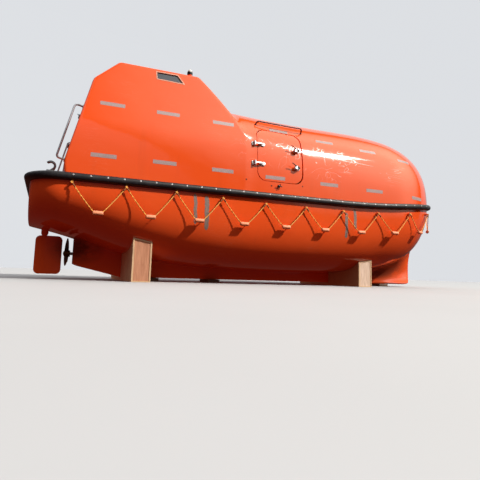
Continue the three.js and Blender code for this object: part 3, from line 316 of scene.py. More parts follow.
def scuffs(s, beside):
    """Curled scratches on the side hatch and beside it, long soft ones towards the bow."""
    curl = s.contour(s.noise(4.4, 1, 0.4, (1, 1, 1.3), (0.2, 0.1, 0.4), 1.2), 0.014)
    curl = s.times(curl, s.patches(0.42, 0.5, 5.2, 2, 0.5, (1, 1, 1), (0.9, 0.2, 0.6)))
    on_hatch = s.times(s.spot((3000, -1150, 1830), (620, 400, 260), 0.6), 0.5)
    curl = s.times(curl, s.most(on_hatch, beside))
    streak = s.contour(s.noise(4.0, 1, 0.4, (0.5, 0.5, 4.0), (0.1, 0.2, 0.1), 0.5), 0.013)
    streak = s.times(streak, s.patches(0.45, 0.55, 2.4, 2))
    return s.most(curl, s.times(streak, s.spot((4750, -1100, 1800), (750, 500, 320), 0.6)))


def gelcoat():
    s = Shader("orange_gelcoat")
    colour = s.tint(srgb(236, 83, 31), s.patches(0.35, 0.75, 0.9, 4, 0.55), 0.4, srgb(240, 97, 44))
    runs = s.patches(0.56, 0.78, 2.2, 5, 0.6, (2.6, 2.6, 0.35))
    colour = s.tint(colour, runs, 0.14, srgb(176, 74, 40))
    dust_and_shade = low_dust_and_shade(s)
    # Painted shade with grey-brown dust: the low bow and the skeg turned towards dark brown.
    colour = s.tint(colour, dust_and_shade, 0.85, srgb(98, 50, 34))
    dust_and_shade = s.most(dust_and_shade, s.spot((6000, 0, 80), (600, 400, 150), 0.7))
    hair = s.most(hair_lines(s, 7.0, (0.3, 0.5, 0.2)), hair_lines(s, 9.0, (0.9, -0.4, 1.1)))
    beside = s.spot((3930, -1150, 1780), (560, 400, 300), 0.7)
    scuff = scuffs(s, beside)
    colour = s.tint(colour, hair, 0.1, srgb(255, 190, 160))
    colour = s.tint(colour, scuff, 0.5, srgb(255, 205, 186))
    rough = s.plus(0.05, s.times(s.noise(3.5, 5, 0.6), 0.04))
    rough = s.plus(rough, s.times(s.most(scuff, dust_and_shade), 0.35))
    rough = s.plus(rough, s.times(beside, s.times(s.noise(6.0, 3, 0.6), 0.03)))
    wave = s.bump(s.noise(2.3, 2, 0.4, (1, 1, 1.6)), 0.012, 0.3)
    s.set(Base_Color=colour, Roughness=rough, Normal=s.bump(s.noise(11, 2, 0.5), 0.0016, 0.2, Normal=wave))
    s.set(IOR=1.5, Specular_IOR_Level=s.math("SUBTRACT", 0.5, s.times(dust_and_shade, 0.42)))
    return s.owner


def plain(name, colour, rough, metallic=0.0, speck=0.06, grain=60.0, depth=0.0004, ior=1.5):
    """A finish of one colour with a fine grain and uneven gloss."""
    s = Shader(name)
    shade = s.noise(grain, 4, 0.6)
    dark = tuple(c * (1 - speck * 3) for c in colour)
    tone = s.mix(s.ramp(shade, (0.3, 0.0), (0.7, 1.0)), dark, colour)
    uneven = s.plus(rough - 0.05, s.times(s.noise(grain * 0.4, 3), 0.1))
    s.set(Base_Color=tone, Roughness=uneven, Metallic=metallic, IOR=ior, Normal=s.bump(shade, depth, 0.5))
    return s.owner


def rubber():
    s = Shader("black_rubber")
    tone = s.tint(srgb(24, 23, 27), s.patches(0.45, 0.75, 5, 5, 0.65), 0.35, srgb(74, 70, 72))
    rough = s.plus(0.3, s.times(s.noise(18, 4), 0.25))
    s.set(Base_Color=tone, Roughness=rough, IOR=1.36, Normal=s.bump(s.noise(45, 4), 0.0008, 0.4))
    return s.owner


def rope_material():
    s = Shader("laid_rope")
    fibre = s.noise(420, 3, 0.6, (1, 1, 3))
    tone = s.mix(fibre, srgb(226, 132, 34), srgb(255, 190, 76))
    s.set(Base_Color=tone, Roughness=0.8, Normal=s.bump(fibre, 0.0008, 0.6), Sheen_Weight=0.3)
    return s.owner


def timber(name, light, dark, turn=(0, 0, 0)):
    s = Shader(name)
    grain = s.noise(5.5, 6, 0.6, (9, 9, 1.1), turn, 0.4)
    tone = s.mix(s.ramp(grain, (0.35, 0.0), (0.65, 1.0)), dark, light)
    tone = s.tint(tone, s.patches(0.58, 0.72, 3, 4, 0.6), 0.25, tuple(c * 0.45 for c in dark))
    s.set(Base_Color=tone, Roughness=0.78, Normal=s.bump(grain, 0.0012, 0.5))
    return s.owner


def ply_edge():
    s = Shader("plywood_edge")
    plies = s.node("TexWave", {"Vector": s.place((1, 0.02, 0.02)), "Scale": 55.0, "Distortion": 0.6,
                               "Detail": 2.0}, wave_type="BANDS", bands_direction="X")
    tone = s.mix(plies.outputs["Fac"], srgb(196, 150, 104), srgb(236, 206, 164))
    tone = s.tint(tone, s.patches(0.5, 0.75, 7, 4, 0.6), 0.3, srgb(150, 112, 84))
    s.set(Base_Color=tone, Roughness=0.8, Normal=s.bump(s.noise(120, 3), 0.0006, 0.5))
    return s.owner


def glass_material():
    s = Shader("tinted_glass")
    tone = s.mix(s.noise(3, 3), srgb(66, 72, 82), srgb(84, 90, 100))
    s.set(Base_Color=tone, Roughness=0.06, IOR=1.5, Alpha=0.92)
    return s.owner


def tape_material():
    s = Shader("reflective_tape")
    cells = s.node("TexVoronoi", {"Vector": s.place(), "Scale": 330.0}, feature="DISTANCE_TO_EDGE")
    comb = s.ramp(cells.outputs["Distance"], (0.02, 0.0), (0.12, 1.0))
    tone = s.mix(comb, srgb(138, 114, 112), srgb(176, 154, 150))
    tone = s.tint(tone, s.patches(0.5, 0.75, 9, 4), 0.2, srgb(150, 110, 95))
    s.set(Base_Color=tone, Roughness=0.4, IOR=1.4)
    return s.owner


ORANGE = gelcoat()
CHROME = plain("polished_steel", srgb(206, 207, 212), 0.3, metallic=0.6, speck=0.05, grain=35, depth=0.0002)
BOLT = plain("bolt_steel", srgb(150, 148, 150), 0.5, metallic=0.6, grain=50)
STEEL = plain("dull_steel", srgb(150, 152, 156), 0.42, metallic=1.0, speck=0.08, grain=50)
WHITE = plain("white_moulding", srgb(222, 220, 212), 0.35)
DARK = plain("black_plastic", srgb(20, 20, 24), 0.5, ior=1.3)
BRONZE = plain("tarnished_bronze", srgb(104, 84, 56), 0.45, metallic=1.0, speck=0.15, grain=30)
FLOAT = plain("float_foam", srgb(244, 150, 104), 0.6, speck=0.05, grain=120, depth=0.0006)
WHIPPING = plain("rope_whipping", srgb(150, 84, 30), 0.8, speck=0.1, grain=160, depth=0.0006)
TAPE_SKIN = tape_material()
TRIM = plain("pale_seal", srgb(226, 150, 118), 0.5)
GREY = plain("worn_grey", srgb(142, 120, 110), 0.65, speck=0.14, grain=40)
# Painted shade: the hatch rail is orange paint, given a dark red for its underside in shade.
RAIL_PAINTED_SHADE = plain("rail_painted_shade", srgb(112, 26, 18), 0.4)
PANEL = timber("plywood_face", srgb(206, 144, 108), srgb(180, 118, 84))
PALE_PANEL = timber("pale_plywood", srgb(236, 208, 184), srgb(208, 174, 146))
EDGE = ply_edge()
FINISH = {
    "orange_moulding": ORANGE, "orange_paint": ORANGE, "black_rubber": rubber(), "plywood": PANEL,
    "polished_steel": CHROME, "galvanised_steel": STEEL, "white_plastic": WHITE, "white_moulding": WHITE,
    "black_plastic": DARK, "bronze": BRONZE, "yellow_rope": rope_material(), "glazing": glass_material(),
    "dark_timber": timber("dark_timber", srgb(112, 84, 62), srgb(70, 50, 38), (0, 1.57, 0)),
}


# Meshes
def reworked(data, change):
    """Runs a change on a mesh in its editable form."""
    bm = bmesh.new()
    bm.from_mesh(data)
    change(bm)
    bm.to_mesh(data)
    bm.free()


def turn_out(bm):
    bmesh.ops.recalc_face_normals(bm, faces=bm.faces)


def raw(name, points, faces):
    """An object from millimetre points, its faces turned out."""
    data = bpy.data.meshes.new(name)
    data.from_pydata(metres(points).tolist(), [], [list(f) for f in faces])
    reworked(data, turn_out)
    return linked(name, data)


def sharpen(data, crease):
    """Shades a mesh smooth but for the edges that turn by more than the crease."""
    def shade(bm):
        turn_out(bm)
        for face in bm.faces:
            face.smooth = True
        for edge in bm.edges:
            if len(edge.link_faces) == 2 and edge.calc_face_angle(0) > math.radians(crease):
                edge.smooth = False

    reworked(data, shade)


def dress(made, slot, nodes=(), body=ROOT, material=None, crease=32.0):
    """Shades a piece, gives it its finish and says what it rides on and stands for."""
    sharpen(made.data, crease)
    made.data.materials.clear()
    made.data.materials.append(material or FINISH[slot])
    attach(made, body)
    if nodes:
        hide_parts(*nodes)


def piece(name, form, slot, nodes=(), body=ROOT, material=None, crease=32.0):
    dress(raw(name, *form), slot, nodes, body, material, crease)


def both(name, form, slot, node="", body=ROOT, material=None):
    """A starboard piece and its mirror image to port. {} stands for the side in the names."""
    for side, label in SIDES.items():
        points, faces = form
        if side == 1:
            points, faces = np.array(points, float) * ACROSS, [f[::-1] for f in faces]
        nodes = [node.format(label)] if node else ()
        piece(name.format(label), (points, faces), slot, nodes, body.format(label), material)


def applied(made):
    """Turns an object's modifiers into its mesh."""
    graph = bpy.context.evaluated_depsgraph_get()
    data = bpy.data.meshes.new_from_object(made.evaluated_get(graph))
    made.modifiers.clear()
    made.data = data
    return made


def bevelled(made, width, segments=2, angle=35.0):
    edge = made.modifiers.new("edge", "BEVEL")
    edge.width = width / 1000
    edge.segments = segments
    edge.limit_method = "ANGLE"
    edge.angle_limit = math.radians(angle)
    return applied(made)


def softened(node, width):
    """A node's own solid with its edges rounded."""
    def clean(bm):
        bmesh.ops.remove_doubles(bm, verts=bm.verts, dist=1e-5)
        bmesh.ops.dissolve_limit(bm, angle_limit=math.radians(0.5), verts=bm.verts, edges=bm.edges)

    made = linked(node + "_finish", NODES[node].data.copy())
    reworked(made.data, clean)
    dress(bevelled(made, width), SLOT_OF[node], (node,), BODY_OF[node], crease=40)


def cut(made, cutters, operation="DIFFERENCE"):
    for form in cutters:
        tool = raw("cutter", *form)
        modifier = made.modifiers.new("cut", "BOOLEAN")
        modifier.operation = operation
        modifier.solver = "EXACT"
        modifier.object = tool
        applied(made)
        bpy.data.objects.remove(tool)
    return made


def unit(v):
    v = np.asarray(v, float)
    return v / np.linalg.norm(v, axis=-1, keepdims=True)


def walked(path):
    """The way gone along a path at each of its points."""
    return np.concatenate([[0], np.cumsum(np.linalg.norm(np.diff(path, axis=0), axis=1))])


def joined(*forms):
    points, faces = [], []
    for more, sides in forms:
        faces += [tuple(i + len(points) for i in f) for f in sides]
        points += list(np.asarray(more, float))
    return np.array(points), faces


def grid_faces(rows, columns, closed=False):
    width = columns if closed else columns - 1
    starts = [(i * columns + k, i * columns + (k + 1) % columns)
              for i in range(rows - 1) for k in range(width)]
    return [(a, b, b + columns, a + columns) for a, b in starts]


def loft(rings):
    """A closed skin through rings of points, one ring per station, with flat ends."""
    rings = np.asarray(rings, float)
    rows, columns = rings.shape[:2]
    faces = grid_faces(rows, columns, True)
    faces += [tuple(range(columns))[::-1], tuple(range((rows - 1) * columns, rows * columns))]
    return rings.reshape(-1, 3), faces


def tipped(surface, tip, foot):
    """An open skin through rows of points, drawn together to a point beyond its last and first row."""
    rows, columns = surface.shape[:2]
    last, count = (rows - 1) * columns, rows * columns
    faces = grid_faces(rows, columns)
    faces += [(last + k, last + k + 1, count) for k in range(columns - 1)]
    faces += [(k + 1, k, count + 1) for k in range(columns - 1)]
    return np.vstack([surface.reshape(-1, 3), [tip, foot]]), faces


def aside(axis):
    """A direction that doesn't run along the axis."""
    return np.array([0.0, 0.0, 1.0] if abs(axis[2]) < 0.9 else [0.0, 1.0, 0.0])


def tube(points, radius, sides=10, lobes=0.0, twist=0.0):
    """A round bar through points; radius may be one per point. lobes and twist lay it as rope."""
    p = np.array(points, float)
    ahead = unit(np.gradient(p, axis=0))
    up = aside(ahead[0])
    angles = np.arange(sides) * 2 * math.pi / sides
    rings = []
    for point, direction, r, s in zip(p, ahead, np.broadcast_to(radius, len(p)), walked(p)):
        side = unit(np.cross(direction, up))
        up = np.cross(side, direction)
        swell = r * (1 - lobes + lobes * np.cos(3 * (angles - twist * s)))[:, None]
        rings.append(point + swell * (np.cos(angles)[:, None] * side + np.sin(angles)[:, None] * up))
    return loft(rings)


def lathe(profile, centre, axis, sides=20):
    """A turned form: (radius, height) pairs along an axis from a centre."""
    axis = unit(axis)
    side = unit(np.cross(axis, aside(axis)))
    angles = np.arange(sides)[:, None] * 2 * math.pi / sides
    circle = np.cos(angles) * side + np.sin(angles) * np.cross(axis, side)
    return loft([np.array(centre, float) + axis * h + circle * max(r, 0.2) for r, h in profile])


def dome(centre, axis, radius, height, sides=10):
    shape = [(radius, -2), (radius, height * 0.35), (radius * 0.8, height * 0.75), (radius * 0.35, height)]
    return lathe(shape, centre, axis, sides)


# Walls: an origin, and unit u, w and v = u x w as rows
def basis(origin, u, w):
    eu, ew = unit(u), unit(w)
    return np.array(origin, float), np.array([eu, ew, np.cross(eu, ew)])


def edge_on(wall):
    """The same wall seen along its w: outlines of (u, v), pushed along w."""
    origin, axes = wall
    return origin, np.array([axes[0], axes[2], axes[1]])


def spot_on(wall, u, w, v):
    """A point of a wall's frame in the boat's lines."""
    return wall[0] + np.array([u, w, v], float) @ wall[1]


def moved(outline, u, w):
    return [(u + a, w + b) for a, b in outline]


def arch(u, v, r, start, end, steps=8):
    turns = np.radians(np.linspace(start, end, steps + 1))
    return [(u + r * math.cos(t), v + r * math.sin(t)) for t in turns]


def rounded(u0, u1, w0, w1, r, steps=8):
    corners = [(u1 - r, w0 + r, -90), (u1 - r, w1 - r, 0), (u0 + r, w1 - r, 90), (u0 + r, w0 + r, 180)]
    return [point for u, w, start in corners for point in arch(u, w, r, start, start + 90, steps)]


def corner_arc(a, b, c, r, steps):
    """The rounding of the corner b between a and c."""
    start, end = b + unit(a - b) * r, b + unit(c - b) * r
    t = np.linspace(0, 1, steps + 1)[:, None]
    return (1 - t) ** 2 * start + 2 * t * (1 - t) * b + t * t * end


def softly(outline, r):
    """An outline with round corners."""
    p = np.array(outline, float)
    return np.vstack([corner_arc(a, b, c, r, 4) for a, b, c in zip(np.roll(p, 1, 0), p, np.roll(p, -1, 0))])


def bent(points, r):
    """A path with its corners rounded."""
    p = np.array(points, float)
    return np.vstack([p[:1], *[corner_arc(a, b, c, r, 6) for a, b, c in zip(p, p[1:], p[2:])], p[-1:]])


def grown(outline, margin):
    """A convex outline with each side moved out by a margin."""
    p = np.array(outline, float)
    ahead = np.roll(p, -1, 0) - p
    ahead = ahead / np.maximum(np.linalg.norm(ahead, axis=1), 1e-9)[:, None]
    turning = np.sum(p[:, 0] * np.roll(p[:, 1], -1) - np.roll(p[:, 0], -1) * p[:, 1])
    out = np.stack([ahead[:, 1], -ahead[:, 0]], -1) * (1 if turning > 0 else -1)
    mean = unit(out + np.roll(out, 1, 0))
    return p + mean * (margin / np.maximum(np.sum(mean * out, axis=1), 0.3))[:, None]


def prism(wall, outline, v0, v1, chamfer=0.0):
    """An outline of (u, w) pushed from v0 to v1, its far edge drawn in by a chamfer."""
    edges = [(v0, outline), (v1, outline)]
    if chamfer:
        shoulder = v1 - math.copysign(chamfer, v1 - v0)
        edges = [(v0, outline), (shoulder, outline), (v1, grown(outline, -chamfer))]
    return loft([[spot_on(wall, u, w, v) for u, w in edge] for v, edge in edges])


def frame_ring(wall, inner, outer, v0, v1):
    """A frame between two outlines of the same number of points."""
    loops = [(inner, v0), (outer, v0), (outer, v1), (inner, v1)]
    rings = np.array([[spot_on(wall, u, w, v) for u, w in loop] for loop, v in loops])
    count = rings.shape[1]
    closing = [(3 * count + k, 3 * count + (k + 1) % count, (k + 1) % count, k) for k in range(count)]
    return rings.reshape(-1, 3), grid_faces(4, count, True) + closing


# Lines of the boat
def along(table, column, x):
    """A table's column at x, on a smooth curve through its rows."""
    rows = np.array(table, float)
    xs, ys = rows[:, 0], rows[:, column]
    slopes = np.empty(len(rows))
    slopes[1:-1] = (ys[2:] - ys[:-2]) / (xs[2:] - xs[:-2])
    slopes[0], slopes[-1] = (ys[1] - ys[0]) / (xs[1] - xs[0]), (ys[-1] - ys[-2]) / (xs[-1] - xs[-2])
    x = np.clip(np.asarray(x, float), xs[0], xs[-1])
    i = np.clip(np.searchsorted(xs, x), 1, len(xs) - 1)
    h = xs[i] - xs[i - 1]
    t = (x - xs[i - 1]) / h
    return (ys[i - 1] * (2 * t**3 - 3 * t**2 + 1) + ys[i] * (3 * t**2 - 2 * t**3)
            + slopes[i - 1] * h * (t**3 - 2 * t**2 + t) + slopes[i] * h * (t**3 - t**2))


def sheer(x):
    rise = np.maximum(0, (np.asarray(x, float) - SHEER_START) / (HULL_LENGTH - SHEER_START))
    return SHEER + SHEER_RISE * rise**2


def half_beam(x):
    x = np.asarray(x, float)
    aft = np.clip((STERN_CORNER - x) / STERN_CORNER, 0, 1)
    fore = np.clip((x - BOW_START) / (HULL_LENGTH - BOW_START), 0, 1)
    return (HALF_BEAM - STERN_CORNER * (1 - np.sqrt(1 - aft**2))) * np.sqrt(1 - fore**2)


def crown(x):
    t = np.clip((np.asarray(x, float) - NOSE_START) / (HULL_LENGTH - NOSE_START), 0, 1)
    return along(CANOPY_TABLE, 1, x) * (1 - t**NOSE_POWER) ** (1 / NOSE_POWER)


def canopy_side(x, z):
    n = along(CANOPY_TABLE, 2, x)
    t = np.clip((z - sheer(x)) / crown(x), 0, 1)
    return half_beam(x) * (1 - t**n) ** (1 / n)


TANGENT_Y = float(canopy_side(1200, TANGENT_Z))
SIDE_LEAN = math.atan2(TANGENT_Y - ROOF_HALF, ROOF_Z - TANGENT_Z)


def side_limit(z):
    """Half width of the tower at a height."""
    t = np.clip((z - SHEER) / SIDE_HEIGHT, 0, 1)
    low = HALF_BEAM * (1 - t**4) ** 0.25
    high = TANGENT_Y - (z - TANGENT_Z) * math.tan(SIDE_LEAN)
    return np.where(z < TANGENT_Z, low, high)


def roof_height(y):
    return ROOF_Z + CAMBER * (1 - (y / ROOF_HALF) ** 2)


def smooth_min(a, b, k):
    h = np.maximum(k - np.abs(a - b), 0) / k
    return np.minimum(a, b) - h * h * k / 4


def smooth_max(a, b, k):
    return -smooth_min(-a, -b, k)


def wall_distance(x, z, a, b, sign):
    """Distance outside the line from a to b, in the plane of x and z; sign is -1 aft, 1 forward."""
    dx, dz = b[0] - a[0], b[1] - a[1]
    return sign * ((x - a[0]) * dz - (z - a[1]) * dx) / math.hypot(dx, dz) * (1 if dz > 0 else -1)


def section_distance(y, rise, b, h, n):
    """How far a point lies outside a section of half width b and height h, nearly."""
    share = ((y / b) ** n + (rise / h) ** n) ** (1 / n)
    return np.hypot(y, rise) * (1 - 1 / np.maximum(share, 1e-6))


def cover_field(p):
    """Below zero inside the canopy and tower."""
    x, y, z = p[..., 0], np.abs(p[..., 1]), p[..., 2]
    b, h, n = np.maximum(half_beam(x), 1), np.maximum(crown(x), 1), along(CANOPY_TABLE, 2, x)
    cover = section_distance(y, np.maximum(z - sheer(x), 0), b, h, n)
    cover = np.maximum(cover, COVER_AFT - x)
    tower = z - roof_height(y)
    for sign, profile, rounding in ((-1, AFT_PROFILE, AFT_ROUNDING), (1, FORE_PROFILE, FORE_ROUNDING)):
        for a, c, k in zip(profile, profile[1:], rounding):
            tower = smooth_max(tower, wall_distance(x, z, a, c, sign), k)
    tower = np.maximum(tower, x - FORE_PROFILE[-1][0])
    side = (y - side_limit(z)) * math.cos(SIDE_LEAN * 0.8)
    return smooth_max(side, smooth_min(cover, tower, NECK_ROUNDING), SIDE_ROUNDING)


def hull_field(p):
    """Below zero inside the moulded hull."""
    x, y, z = p[..., 0], np.abs(p[..., 1]), p[..., 2]
    s = sheer(x)
    h, n = s - along(HULL_TABLE, 1, x), along(HULL_TABLE, 2, x)
    return section_distance(y, np.maximum(s - z, 0), np.maximum(half_beam(x), 1), h, n)


def cast(origins, directions, field, reach=3200.0, steps=44):
    """The points where rays from inside leave the field's zero."""
    low = np.zeros(origins.shape[:-1])
    high = np.full(origins.shape[:-1], reach)
    for _ in range(steps):
        middle = (low + high) / 2
        inside = field(origins + directions * middle[..., None]) < 0
        low, high = np.where(inside, middle, low), np.where(inside, high, middle)
    return origins + directions * low[..., None]


def settle(points, field, steps=4):
    """Moves points near a surface onto it, and gives the surface's normals there too."""
    for _ in range(steps):
        slope = np.stack([field(points + axis) - field(points - axis) for axis in np.eye(3) * 0.5], -1)
        size = np.linalg.norm(slope, axis=-1, keepdims=True)
        points = points - (field(points)[..., None] / size) * (slope / size)
    return points, slope / size


def on_side(x, z, side, field=cover_field):
    """Points of a side's skin at x and z, with the normals there."""
    x, z = np.broadcast_arrays(np.asarray(x, float), np.asarray(z, float))
    origins = np.stack([x, np.zeros_like(x), z], -1)
    directions = np.broadcast_to([0.0, side, 0.0], origins.shape)
    return settle(cast(origins, directions, field), field, 1)


def veneer(points, normals, lift, sink=3.0):
    """A closed thin sheet on a surface, from a grid of its points."""
    rows, columns = points.shape[:2]
    count = rows * columns
    vertices = np.vstack([(points + reach * normals).reshape(-1, 3) for reach in (lift, -sink)])
    faces = grid_faces(rows, columns)
    faces += [tuple(i + count for i in f[::-1]) for f in faces]
    border = list(range(columns)) + [r * columns + columns - 1 for r in range(1, rows)]
    border += [(rows - 1) * columns + k for k in range(columns - 2, -1, -1)]
    border += [r * columns for r in range(rows - 2, 0, -1)]
    return vertices, faces + [(a, b, b + count, a + count) for a, b in zip(border, border[1:] + border[:1])]


def spaced(*stops):
    """Numbers through stops of (end, step), from the first end on."""
    out = [stops[0][0]]
    for (start, _), (end, step) in zip(stops, stops[1:]):
        count = max(1, round(abs(end - start) / step))
        out += [start + (end - start) * (k + 1) / count for k in range(count)]
    return np.array(out)


def nose_stations():
    turns = np.radians(spaced((0, 0), (80, 2.4), (89.2, 1.15)))
    return BOW_START + (HULL_LENGTH - BOW_START) * np.sin(turns)[1:]


# Walls that carry openings
axis_side = float(canopy_side(HATCH["axis"], HATCH["low"]))
hatch_lean = math.atan2(axis_side - float(canopy_side(HATCH["axis"], HATCH["high"])),
                        HATCH["high"] - HATCH["low"])


def leaning(side, half, z, lean):
    """A wall along a side of the boat that leans in by an angle."""
    return basis((0, side * half, z), (1, 0, 0), (0, -side * math.sin(lean), math.cos(lean)))


def crosswise(at, low, high, u):
    """A wall across the boat, measured from at, that rises from low to high in the profile."""
    return basis((at[0], 0, at[1]), (0, u, 0), (high[0] - low[0], 0, high[1] - low[1]))


HATCH_WALL = {side: leaning(side, axis_side, HATCH["low"], hatch_lean) for side in SIDES}
TOWER_SIDE = {side: leaning(side, ROOF_HALF, ROOF_Z, SIDE_LEAN) for side in SIDES}
AFT_WALL = crosswise(AFT_PROFILE[1], AFT_PROFILE[1], AFT_PROFILE[2], -1)
AFT_BEVEL = crosswise(AFT_PROFILE[2], AFT_PROFILE[2], AFT_PROFILE[3], -1)
FRONT_WALL = crosswise(FORE_PROFILE[0], FORE_PROFILE[1], FORE_PROFILE[0], 1)
PLAN = basis((0, 0, 0), (1, 0, 0), (0, 1, 0))
SIDE_VIEW = basis((0, 0, 0), (1, 0, 0), UP)
LID_WALL = basis((LID["hinge_x"], 0, LID["top"]), (-1, 0, 0), (0, -1, 0))
PANES = [(TOWER_SIDE[-1], SIDE_PANE), (TOWER_SIDE[1], SIDE_PANE), (FRONT_WALL, WINDSCREEN),
         (AFT_BEVEL, AFT_PANE)]


def up_hatch(z):
    return (z - HATCH["low"]) / math.cos(hatch_lean)


def hatch_outline(near, far):
    foot, head = up_hatch(HATCH["foot"]), up_hatch(HATCH["head"])
    aft, fore = HATCH["x"] + near, HATCH["x"] + HATCH["width"] - far
    return rounded(aft, fore, foot + near, head - near, HATCH["corner"])


def door_outline(near, far):
    half = DOOR["half"]
    return rounded(near - half, half - far, DOOR["foot"] + near, DOOR["head"] - near, DOOR["corner"])


# Canopy and tower
def shares(length, step, near=False, far=False):
    """Shares of a length from 0 to 1, close together at an end that lies on a corner."""
    gaps = np.array([0, 6, 13, 22, 36, 60]) / length
    start = gaps if near else gaps[:1]
    end = 1 - (gaps if far else gaps[:1])[::-1]
    count = max(1, round((end[0] - start[-1]) * length / step))
    return np.concatenate([start, np.linspace(start[-1], end[0], count + 1)[1:-1], end])


def edge_angle(x):
    """The turn about the boat's length to the tower's upper edge, and past it to a middle one."""
    end = FORE_PROFILE[-1][0]
    z = np.interp(min(x, end), *zip(*FORE_PROFILE))
    turn = math.atan2(z - SHEER, float(side_limit(z)))
    return turn if x < end else float(np.interp(x, [end, end + 1000], [turn, 0.8]))


# Along a quarter section, 0 is the gunwale, 1 the tower's upper edge and 2 the middle of the roof
QUARTER = np.concatenate([shares(SIDE_RUN, 72, far=True), 1 + shares(ROOF_HALF, 66, near=True)[1:]])


def spokes(x):
    """Directions across the boat to the points of a quarter section."""
    edge = edge_angle(x)
    turn = np.where(QUARTER <= 1, edge * QUARTER, edge + (math.pi / 2 - edge) * (QUARTER - 1))
    return np.stack([np.zeros_like(turn), np.cos(turn), np.sin(turn)], -1)


def aft_targets(rim):
    """Points of the aft wall and its bevel, as rows from the foot up to the roof's rim."""
    foot, top = AFT_PROFILE[0], AFT_PROFILE[2]
    z = np.minimum(SHEER + (rim[:, 2] - SHEER) * (top[1] - SHEER) / (ROOF_Z - SHEER), top[1])
    y = np.where(QUARTER <= 1, side_limit(z), rim[:, 1] * float(side_limit(top[1])) / ROOF_HALF)
    corner = np.stack([np.interp(z, *zip(*[(b, a) for a, b in AFT_PROFILE[:3]])), y, z], -1)
    pole = np.array([foot[0], 0.0, SHEER])
    rows = [corner + (pole - corner) * t for t in shares(WALL_RUN, 78, near=True)[-2::-1]]
    return np.array(rows + [corner + (rim - corner) * t for t in shares(BEVEL_RUN, 48, True, True)[1:-1]])


def cover_surface():
    """The outer skin from the aft wall to the nose, its lines laid along the tower's corners."""
    bevel, front, end = AFT_PROFILE[3][0], FORE_PROFILE[0][0], FRONT_FOOT
    hub = np.array([bevel, 0.0, SHEER])
    rim = cast(np.broadcast_to(hub, (len(QUARTER), 3)), spokes(bevel), cover_field)
    targets = aft_targets(rim) - hub
    origins = [np.broadcast_to(hub, rim.shape)] * len(targets)
    directions = list(unit(targets))
    roof = bevel + (front - bevel) * shares(front - bevel, 90, True, True)
    slope = front + (end - front) * shares(end - front, 19, near=True)[1:]
    for x in np.concatenate([roof, slope, spaced((end, 0), (BOW_START, 60))[1:], nose_stations()]):
        origins.append(np.broadcast_to([x, 0, float(sheer(x))], rim.shape))
        directions.append(spokes(x))
    quarter = cast(np.array(origins), np.array(directions), cover_field)
    surface = np.concatenate([quarter, (quarter * ACROSS)[:, -2::-1]], axis=1)
    surface[:, [0, -1], 2] += RIM_GAP
    tip = [HULL_LENGTH - TIP_GAP, 0, float(sheer(HULL_LENGTH)) + RIM_GAP]
    return tipped(surface, tip, [AFT_PROFILE[0][0] + RIM_GAP, 0, SHEER + RIM_GAP])


def thickened(name, form, middle):
    """A wall of the shell's thickness, inwards from a skin that is open along its rim."""
    skin = raw(name, *form)
    face = skin.data.polygons[len(skin.data.polygons) // 3]
    if face.normal.dot(face.center - Vector(metres(middle).tolist())) < 0:
        skin.data.flip_normals()
    thick = skin.modifiers.new("wall", "SOLIDIFY")
    thick.thickness = SHELL / 1000
    thick.offset = -1
    thick.use_even_offset = True
    return applied(skin)


def part_of(skin, name, form):
    return cut(linked(name, skin.data.copy()), [form], "INTERSECT")


def make_cover():
    skin = thickened("canopy_shell", cover_surface(), [3000, 0, 1700])
    for side, label in SIDES.items():
        punch = prism(HATCH_WALL[side], hatch_outline(*HATCH_GAPS), *HATCH_PUNCH)
        leaf = part_of(skin, "hatch_leaf_" + label, punch)
        dress(leaf, "orange_moulding", ["side_hatch_" + label], label + "_hatch")
    door = part_of(skin, "door_leaf", prism(AFT_WALL, door_outline(*DOOR_GAPS), *DOOR_LEAF))
    dress(door, "orange_moulding", ["aft_door"], "stern_door")
    half, start, wall = LID["half"] - LID_INSET, LID["x"] + LID_INSET, WELL["wall"]
    hole = rounded(start, start + LID["length"] - 2 * LID_INSET, -half, half, LID["corner"])
    aft, side = WELL["x"] - wall, WELL["half"] + wall
    well = rounded(aft, aft + WELL["length"] + 2 * wall, -side, side, 3, 2)
    cutters = [prism(wall, hatch_outline(0, 0), *HATCH_PUNCH) for wall in HATCH_WALL.values()]
    cutters += [prism(AFT_WALL, door_outline(0, 0), *DOOR_PUNCH)]
    cutters += [prism(wall, pane, *PANE_PUNCH) for wall, pane in PANES]
    cutters += [prism(PLAN, hole, 2600, ABOVE), prism(PLAN, well, WELL["floor"] - WELL["wall"], ABOVE)]
    dress(cut(skin, cutters), "orange_moulding", ["canopy", "canopy_nose", "tower", "tower_aft"])


def make_seals():
    """Thin frames round the windows, the side panes, and a rubber lip behind the door's edge."""
    frames = [frame_ring(wall, softly(grown(pane, -5), 14), softly(grown(pane, 8), 14), -13, 3)
              for wall, pane in PANES]
    piece("window_seals", joined(*frames), "white_plastic", material=TRIM)
    for side, label in SIDES.items():
        pane = prism(TOWER_SIDE[side], grown(SIDE_PANE, -TOUCH), -22, -12)
        piece("side_pane_" + label, pane, "glazing", ["side_window_" + label])
    lip = frame_ring(AFT_WALL, door_outline(22, 27), door_outline(-14, -14), -SHELL - 12, -SHELL + 1)
    piece("door_seal", lip, "black_rubber")


